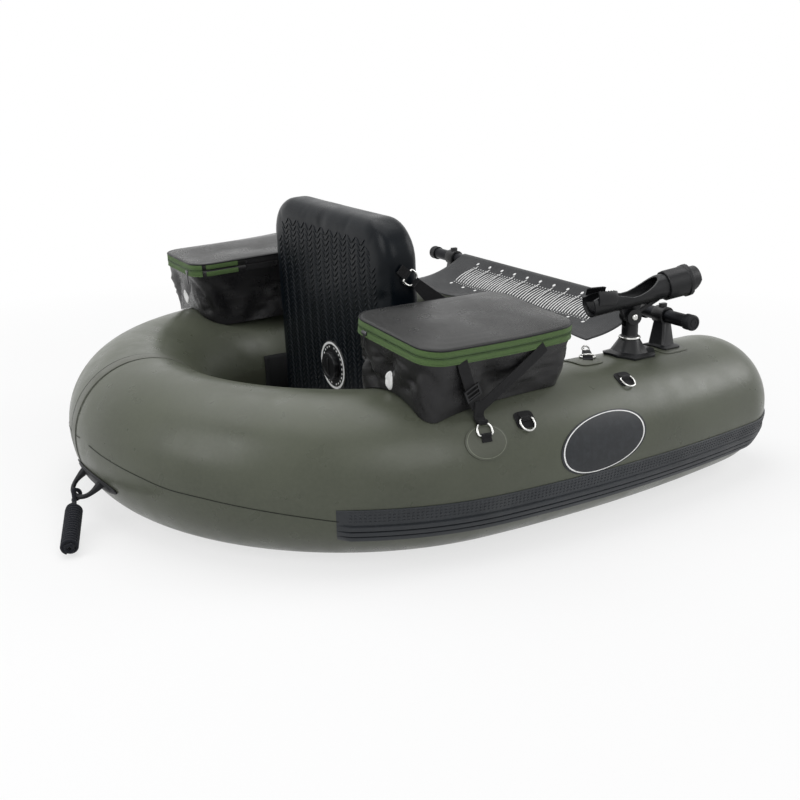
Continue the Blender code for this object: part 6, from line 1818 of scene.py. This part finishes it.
# %% Tow rope
ROPE_R, ROPE_GAP, ROPE_TURNS, CORE_R = 0.0040, 0.0006, 16, 0.0088
ROPE_PITCH, ROPE_RING = 2 * ROPE_R + ROPE_GAP, CORE_R + FIT + ROPE_R
ROPE_HEADING, ROPE_SLOPE, LOOP_LONG = radians(-112), radians(9), 0.040
rope_look = webbing("navy_braid", (0.0085, 0.0100, 0.0150), pitch=0.0026, depth=0.0005)
down = Vector((cos(ROPE_HEADING) * cos(ROPE_SLOPE), sin(ROPE_HEADING) * cos(ROPE_SLOPE),
               -sin(ROPE_SLOPE)))
bow = grip_point(pi / 2)
wound = ROPE_TURNS * ROPE_PITCH
hank_top = bow + Vector((down.x, down.y, 0)).normalized() * LOOP_LONG
hank_top.z = CORE_R + FIT + 2 * ROPE_R + 0.0008 + (wound + 0.010) * sin(ROPE_SLOPE)
hank = frame_matrix(hank_top, Vector((down.y, -down.x, 0)), down)


def in_hank(radius, turn, drop):
    return hank @ Vector((radius * cos(turn), radius * sin(turn), drop))


def round_bar(turn):
    wrap = GRIP_BAR + ROPE_R + 0.0019
    return (bow + Vector((-wrap * cos(turn), 0.001 * (turn - pi) / 0.96, wrap * sin(turn))))


STRAND = 0.0046
upper = [round_bar(radians(a)) for a in (180, 152, 124, 97, 70)]
upper += [in_hank(STRAND * 1.1, -pi / 2, -0.020), in_hank(STRAND, -pi / 2, -0.012),
          in_hank(0.0076, radians(-66), -0.0055), in_hank(0.0114, radians(-34), 0.0005)]
turns = [in_hank(ROPE_RING, 2 * pi * k / 24, ROPE_R + ROPE_PITCH * k / 24)
         for k in range(24 * ROPE_TURNS + 1)]
finish_knots = [in_hank(ROPE_RING - 0.0012, radians(28), ROPE_R + wound + 0.0014),
                in_hank(0.0095, radians(62), ROPE_R + wound + 0.0042)]
rope_route = (smooth_route(upper + turns[:1], 6)[:-1] + turns
              + smooth_route([turns[-1]] + finish_knots, 6)[1:])
rope = paint(wire("tow_rope", rope_route, ROPE_R, 12, closed=False), rope_look)
lower = smooth_route([round_bar(radians(a)) for a in (180, 208, 236, 263, 290)]
                     + [in_hank(STRAND * 1.1, pi / 2, -0.020), in_hank(STRAND, pi / 2, -0.008),
                        in_hank(STRAND, pi / 2, 0.02), in_hank(STRAND, pi / 2, wound * 0.9)], 6)
strands = [paint(wire("strand", lower, ROPE_R, 12, closed=False), rope_look)]
strands.append(paint(wire("filler", [in_hank(STRAND, -pi / 2, 0.014 + wound * 0.85 * k / 8)
                                     for k in range(9)], ROPE_R, 12, closed=False), rope_look))
inner_strands = joined("tow_rope_loop", *strands)
knot_parts = []
for turn, tilt in ((0.0, 0.55), (2.1, -0.5)):
    loop = [in_hank(0.0066 + 0.0009 * cos(3 * a), a + turn,
                    wound + 0.0052 + 0.0022 * tilt * sin(a + turn) * 2) for a in circle(36)]
    knot_parts.append(paint(wire("knot", loop, ROPE_R * 0.92, 12), rope_look))
stub = smooth_route([in_hank(0.0035, 0.6, wound + 0.002), in_hank(0.0050, 0.9, wound + 0.0065),
                     in_hank(0.0085, 1.0, wound + 0.0095)], 6)
stub_sizes = [ROPE_R * (0.95 - 0.2 * (k / 12) ** 4) for k in range(13)]
knot_parts.append(paint(wire("stub", stub, stub_sizes, 12, closed=False), rope_look))
knot = joined("tow_rope_knot", *knot_parts)
hand_over(rope, "hull", "rope", "rope_winding", "rope_bight")
hand_over(inner_strands, "hull", "rope", "rope_core")
hand_over(knot, "hull", "rope")

# %% [markdown]
# The bar is anodised tube with rubber end caps, turned shapes both. Its saddles, the rod
# holder and the zip sliders have the right form in the solid model, but sharp edges. They
# aren't drawn again: a copy of such a solid is merged, its edges are rounded with Bevel, and
# the finish goes on the copy.

# %% Bar and caps
BAR_HALF = abs(centre_line(LEFT, s_at(BAR_X))[0].y) + 0.072
CAP_R, BAR_WALL = 0.0160, 0.0015
bar_turn = frame_matrix(Vector((BAR_X, -BAR_HALF, BAR_Z)), (1, 0, 0), (0, 1, 0))
bar = paint(lathe("crossbar_tube", ((BAR_R - BAR_WALL, 0), (BAR_R, 0), (BAR_R, 2 * BAR_HALF),
                                    (BAR_R - BAR_WALL, 2 * BAR_HALF)), bar_turn, 64), bar_look)
hand_over(bar, "hull", "bar_alloy", "crossbar")
CAP_FORM = ((0.0100, -0.015), (0.0116, -0.0145), (0.0117, FIT), (CAP_R - 0.0006, FIT),
            (CAP_R, 0.0009), (CAP_R, 0.0185), (CAP_R - 0.0006, 0.0205), (CAP_R - 0.0022, 0.0217),
            (CAP_R - 0.0036, 0.0220), (0.0104, 0.0220), (0.0100, 0.0210), (0.0084, 0.0210),
            (0.0080, 0.0218), (0.0046, 0.0219), (0.0043, 0.0212), (0.0006, 0.0212))
for side_name, side in SIDES:
    place = frame_matrix(Vector((BAR_X, side * BAR_HALF, BAR_Z)), (1, 0, 0), (0, side, 0))
    cap = lathe("end_cap", CAP_FORM, place, 64)
    lines = []
    for a in circle(24):
        out = place.to_3x3() @ Vector((cos(a), sin(a), 0))
        lines.append([(place @ Vector((CAP_R * cos(a), CAP_R * sin(a), z)), out)
                      for z in (0.004, 0.0155, 0.0156)])
    grips = repeated("cap_grips", lines, rubber_look, spacing=0.0115, long=0.0110, wide=0.0016,
                     high=0.0009)
    cap = joined("crossbar_end_cap_" + side_name, paint(cap, rubber_look), grips)
    hand_over(cap, "hull", "black_rubber", "crossbar_cap_" + side_name)
print("bar is %.3f m long" % (2 * BAR_HALF))

# %% Rounded copies of solids
bodies = frame["record"]["behaviour"]["bodies"]
BODY_OF = {node: body for body, nodes in bodies.items() for node in nodes}


def rounded_copy(name, node, look, slot, width, extras=(), sharp=32):
    """Piece that stands for a solid: the same form with rounded edges and any extras on it."""
    shape = bmesh.new()
    shape.from_mesh(frame["nodes"][node].data)
    bmesh.ops.remove_doubles(shape, verts=shape.verts, dist=2e-5)
    bmesh.ops.dissolve_limit(shape, angle_limit=radians(1.5), verts=shape.verts, edges=shape.edges)
    mesh = bpy.data.meshes.new(name)
    shape.to_mesh(mesh)
    shape.free()
    made = smooth_object(name, mesh, sharp)
    finished(made, ("BEVEL", {"width": width, "segments": 2, "limit_method": "ANGLE",
                              "angle_limit": radians(sharp)}))
    made.data.shade_smooth()
    made.data.set_sharp_from_angle(angle=radians(50))
    paint(made, look)
    if extras:
        made = joined(name, made, *extras)
    hand_over(made, BODY_OF[node], slot, node)


# %% Saddles, rod holder and sliders
ROD_X, ROD_YAW, ROD_TILT = PART_SHIFT + HULL_LENGTH * 0.2214, radians(-8), radians(8)
ROD_PLATE, ROD_CONE_RISE, ROD_POST_RISE = 0.005, 0.024, 0.046
TROUGH_BACK, TROUGH_UP, TROUGH_OUT, TROUGH_IN = -0.092, 0.044, 0.0255, 0.0250
TROUGH_START, TROUGH_SPAN, RIB_LEVEL, RIB_ACROSS = -216, 252, 0.0156, 0.0206
BAND_FORM = ((0.002, 0.0002), (0.003, 0.0026), (0.040, 0.0026), (0.046, 0.0002))
for side_name, side in SIDES:
    glue = patch("glue", side, BAR_X, pi / 2, 0.046, 0.044, 5.0, 0.0008, pad_look)
    line = patch("line", side, BAR_X, pi / 2, 0.0435, 0.0415, 5.0, 0.0003, tape_edge_look, 0.0,
                 FIT + 0.0008, (0.972, 1.0), False)
    ground = joined("saddle_patch_" + side_name, glue, line)
    hand_over(ground, "hull", "pad_pvc")
    rounded_copy("bar_saddle_" + side_name, "crossbar_saddle_" + side_name, black_look,
                 "black_plastic", 0.0009)
    rounded_copy("zip_slider_" + side_name, "bag_slider_" + side_name, steel_dark_look,
                 "stainless", 0.0005)
foot = hull_point(RIGHT, s_at(ROD_X), pi / 2)
post_low = foot.z + ROD_PLATE + ROD_CONE_RISE + FIT
swivel = Matrix.Translation(Vector((foot.x, foot.y, post_low)))
chrome = paint(lathe("chrome_ring", ((0.0186, 0.0006), (0.0215, 0.0006), (0.0222, 0.0016),
                                     (0.0222, 0.0036), (0.0213, 0.0048), (0.0188, 0.0050)),
                     swivel, 64, loop=True), steel_look)
rounded_copy("rod_holder_base", "rod_base", black_look, "black_plastic", 0.0012)
rounded_copy("rod_holder_post", "rod_post", black_look, "black_plastic", 0.0007, (chrome,))
rounded_copy("rod_pivot_screw", "rod_screw", steel_look, "stainless", 0.0004)
heading = Vector((cos(ROD_YAW), sin(ROD_YAW), 0))
rod_axis = (frame_matrix(foot + UP * (ROD_PLATE + ROD_CONE_RISE + ROD_POST_RISE),
                         heading * cos(ROD_TILT) + UP * sin(ROD_TILT), UP)
            @ Matrix.Translation(Vector((TROUGH_BACK, 0, TROUGH_UP))))
arc = [radians(TROUGH_START + TROUGH_SPAN * k / 40) for k in range(41)]
shell = [[rod_axis @ Vector((x, r * cos(a), r * sin(a)))
          for r, turn in ((TROUGH_OUT + rise, 1), (TROUGH_IN, -1)) for a in arc[::turn]]
         for x, rise in BAND_FORM]
shell = paint(skin("shell", shell, 35), black_look)
edges = [[(rod_axis @ Vector((0.008 + 0.030 * k / 20, y, RIB_LEVEL)), rod_axis.col[2].to_3d())
          for k in range(21)] for y in (RIB_ACROSS, -RIB_ACROSS)]
ribs = repeated("ribs", edges, black_look, spacing=0.0058, long=0.0030, wide=0.0058,
                high=0.0036)
rounded_copy("rod_trough", "rod_cradle", black_look, "black_plastic", 0.0007, (shell, ribs))
rounded_copy("rod_lock_collar", "rod_collar", black_look, "black_plastic", 0.0009)

# %% [markdown]
# A pale floor and soft lamps above and on three sides show colours about as they are written.
# The camera sees the floor and the room as plain white, and metal sees that white too.

# %% Floor and light
SEEN = {
    "path": ("ShaderNodeLightPath", {}),
    "seen": ("ShaderNodeMath", {"operation": "MAXIMUM"}),
    "both": ("ShaderNodeMath", {"operation": "MAXIMUM"}),
    "white": ("ShaderNodeEmission", {}),
    "mixed": ("ShaderNodeMixShader", {}),
}
SEEN_LINKS = (
    ("path", "Is Camera Ray", "seen", 0), ("path", "Is Glossy Ray", "seen", 1),
    ("seen", "Value", "both", 0), ("path", "Is Transmission Ray", "both", 1),
    ("both", "Value", "mixed", "Fac"), ("white", "Emission", "mixed", 2),
)
FADE = {
    "place": ("ShaderNodeTexCoord", {}),
    "reach": ("ShaderNodeVectorMath", {"operation": "LENGTH"}),
    "fade": ("ShaderNodeMapRange", {}),
    "part": ("ShaderNodeMath", {"operation": "MULTIPLY"}),
}
FADE_LINKS = (("place", "Object", "reach", 0), ("reach", "Value", "fade", "Value"),
              ("fade", "Result", "part", 0))
FADE_NEAR, FADE_FAR, FLOOR_SHADE = 0.8, 2.2, 0.30


def seen_white(tree, lit, shade=0.0):
    """Camera, glossy and transmission rays see white; shade lets some of the lit one through."""
    nodes = wired(tree, SEEN, SEEN_LINKS)
    if shade:
        more = wired(tree, FADE, FADE_LINKS)
        for socket, value in (("From Min", FADE_NEAR), ("From Max", FADE_FAR),
                              ("To Min", 1 - shade), ("To Max", 1.0)):
            more["fade"].inputs[socket].default_value = value
        tree.links.new(nodes["both"].outputs["Value"], more["part"].inputs[1])
        tree.links.new(more["part"].outputs["Value"], nodes["mixed"].inputs["Fac"])
    nodes["white"].inputs["Color"].default_value = (1, 1, 1, 1)
    nodes["white"].inputs["Strength"].default_value = 1.0
    tree.links.new(lit, nodes["mixed"].inputs[1])
    return nodes["mixed"].outputs["Shader"]


def studio():
    mesh = bpy.data.meshes.new("floor")
    mesh.from_pydata([(FLOOR_HALF * x, FLOOR_HALF * y, 0)
                      for x, y in ((-1, -1), (1, -1), (1, 1), (-1, 1))], [], [(0, 1, 2, 3)])
    floor = placed("floor", mesh)
    floor.location.z = -FLOOR_DROP
    look = bpy.data.materials.new("floor_paper")
    look.use_nodes = True
    shader = look.node_tree.nodes["Principled BSDF"]
    shader.inputs["Base Color"].default_value = (0.86, 0.86, 0.86, 1)
    shader.inputs["Roughness"].default_value = 0.9
    look.node_tree.links.new(seen_white(look.node_tree, shader.outputs["BSDF"], FLOOR_SHADE),
                             look.node_tree.nodes["Material Output"].inputs["Surface"])
    mesh.materials.append(look)
    world = bpy.data.worlds.new("room")
    world.use_nodes = True
    bpy.context.scene.world = world
    room = world.node_tree.nodes["Background"]
    room.inputs["Color"].default_value = (0.95, 0.97, 1.0, 1)
    room.inputs["Strength"].default_value = ROOM_LEVEL
    world.node_tree.links.new(seen_white(world.node_tree, room.outputs["Background"]),
                              world.node_tree.nodes["World Output"].inputs["Surface"])


FLOOR_HALF, FLOOR_DROP, ROOM_LEVEL = 30, 0.0004, 0.20
LAMPS_LOOK_AT = Vector((0, 0, 0.2))
LAMPS = (
    ("lamp_top", (-0.3, 0.6, 3.2), 3.4, 74),
    ("lamp_left", (-3.0, -0.2, 1.8), 1.8, 34),
    ("lamp_front", (-0.4, -3.6, 2.4), 2.0, 38),
    ("lamp_right", (3.0, -1.2, 1.8), 1.6, 38),
)


def lamps():
    for name, place, size, power in LAMPS:
        data = bpy.data.lights.new(name, "AREA")
        data.size = size
        data.energy = power
        lamp = placed(name, data)
        lamp.location = place
        lamp.rotation_euler = (LAMPS_LOOK_AT - Vector(place)).to_track_quat("-Z", "Y").to_euler()


studio()
lamps()
bpy.context.scene.view_settings.view_transform = "Standard"
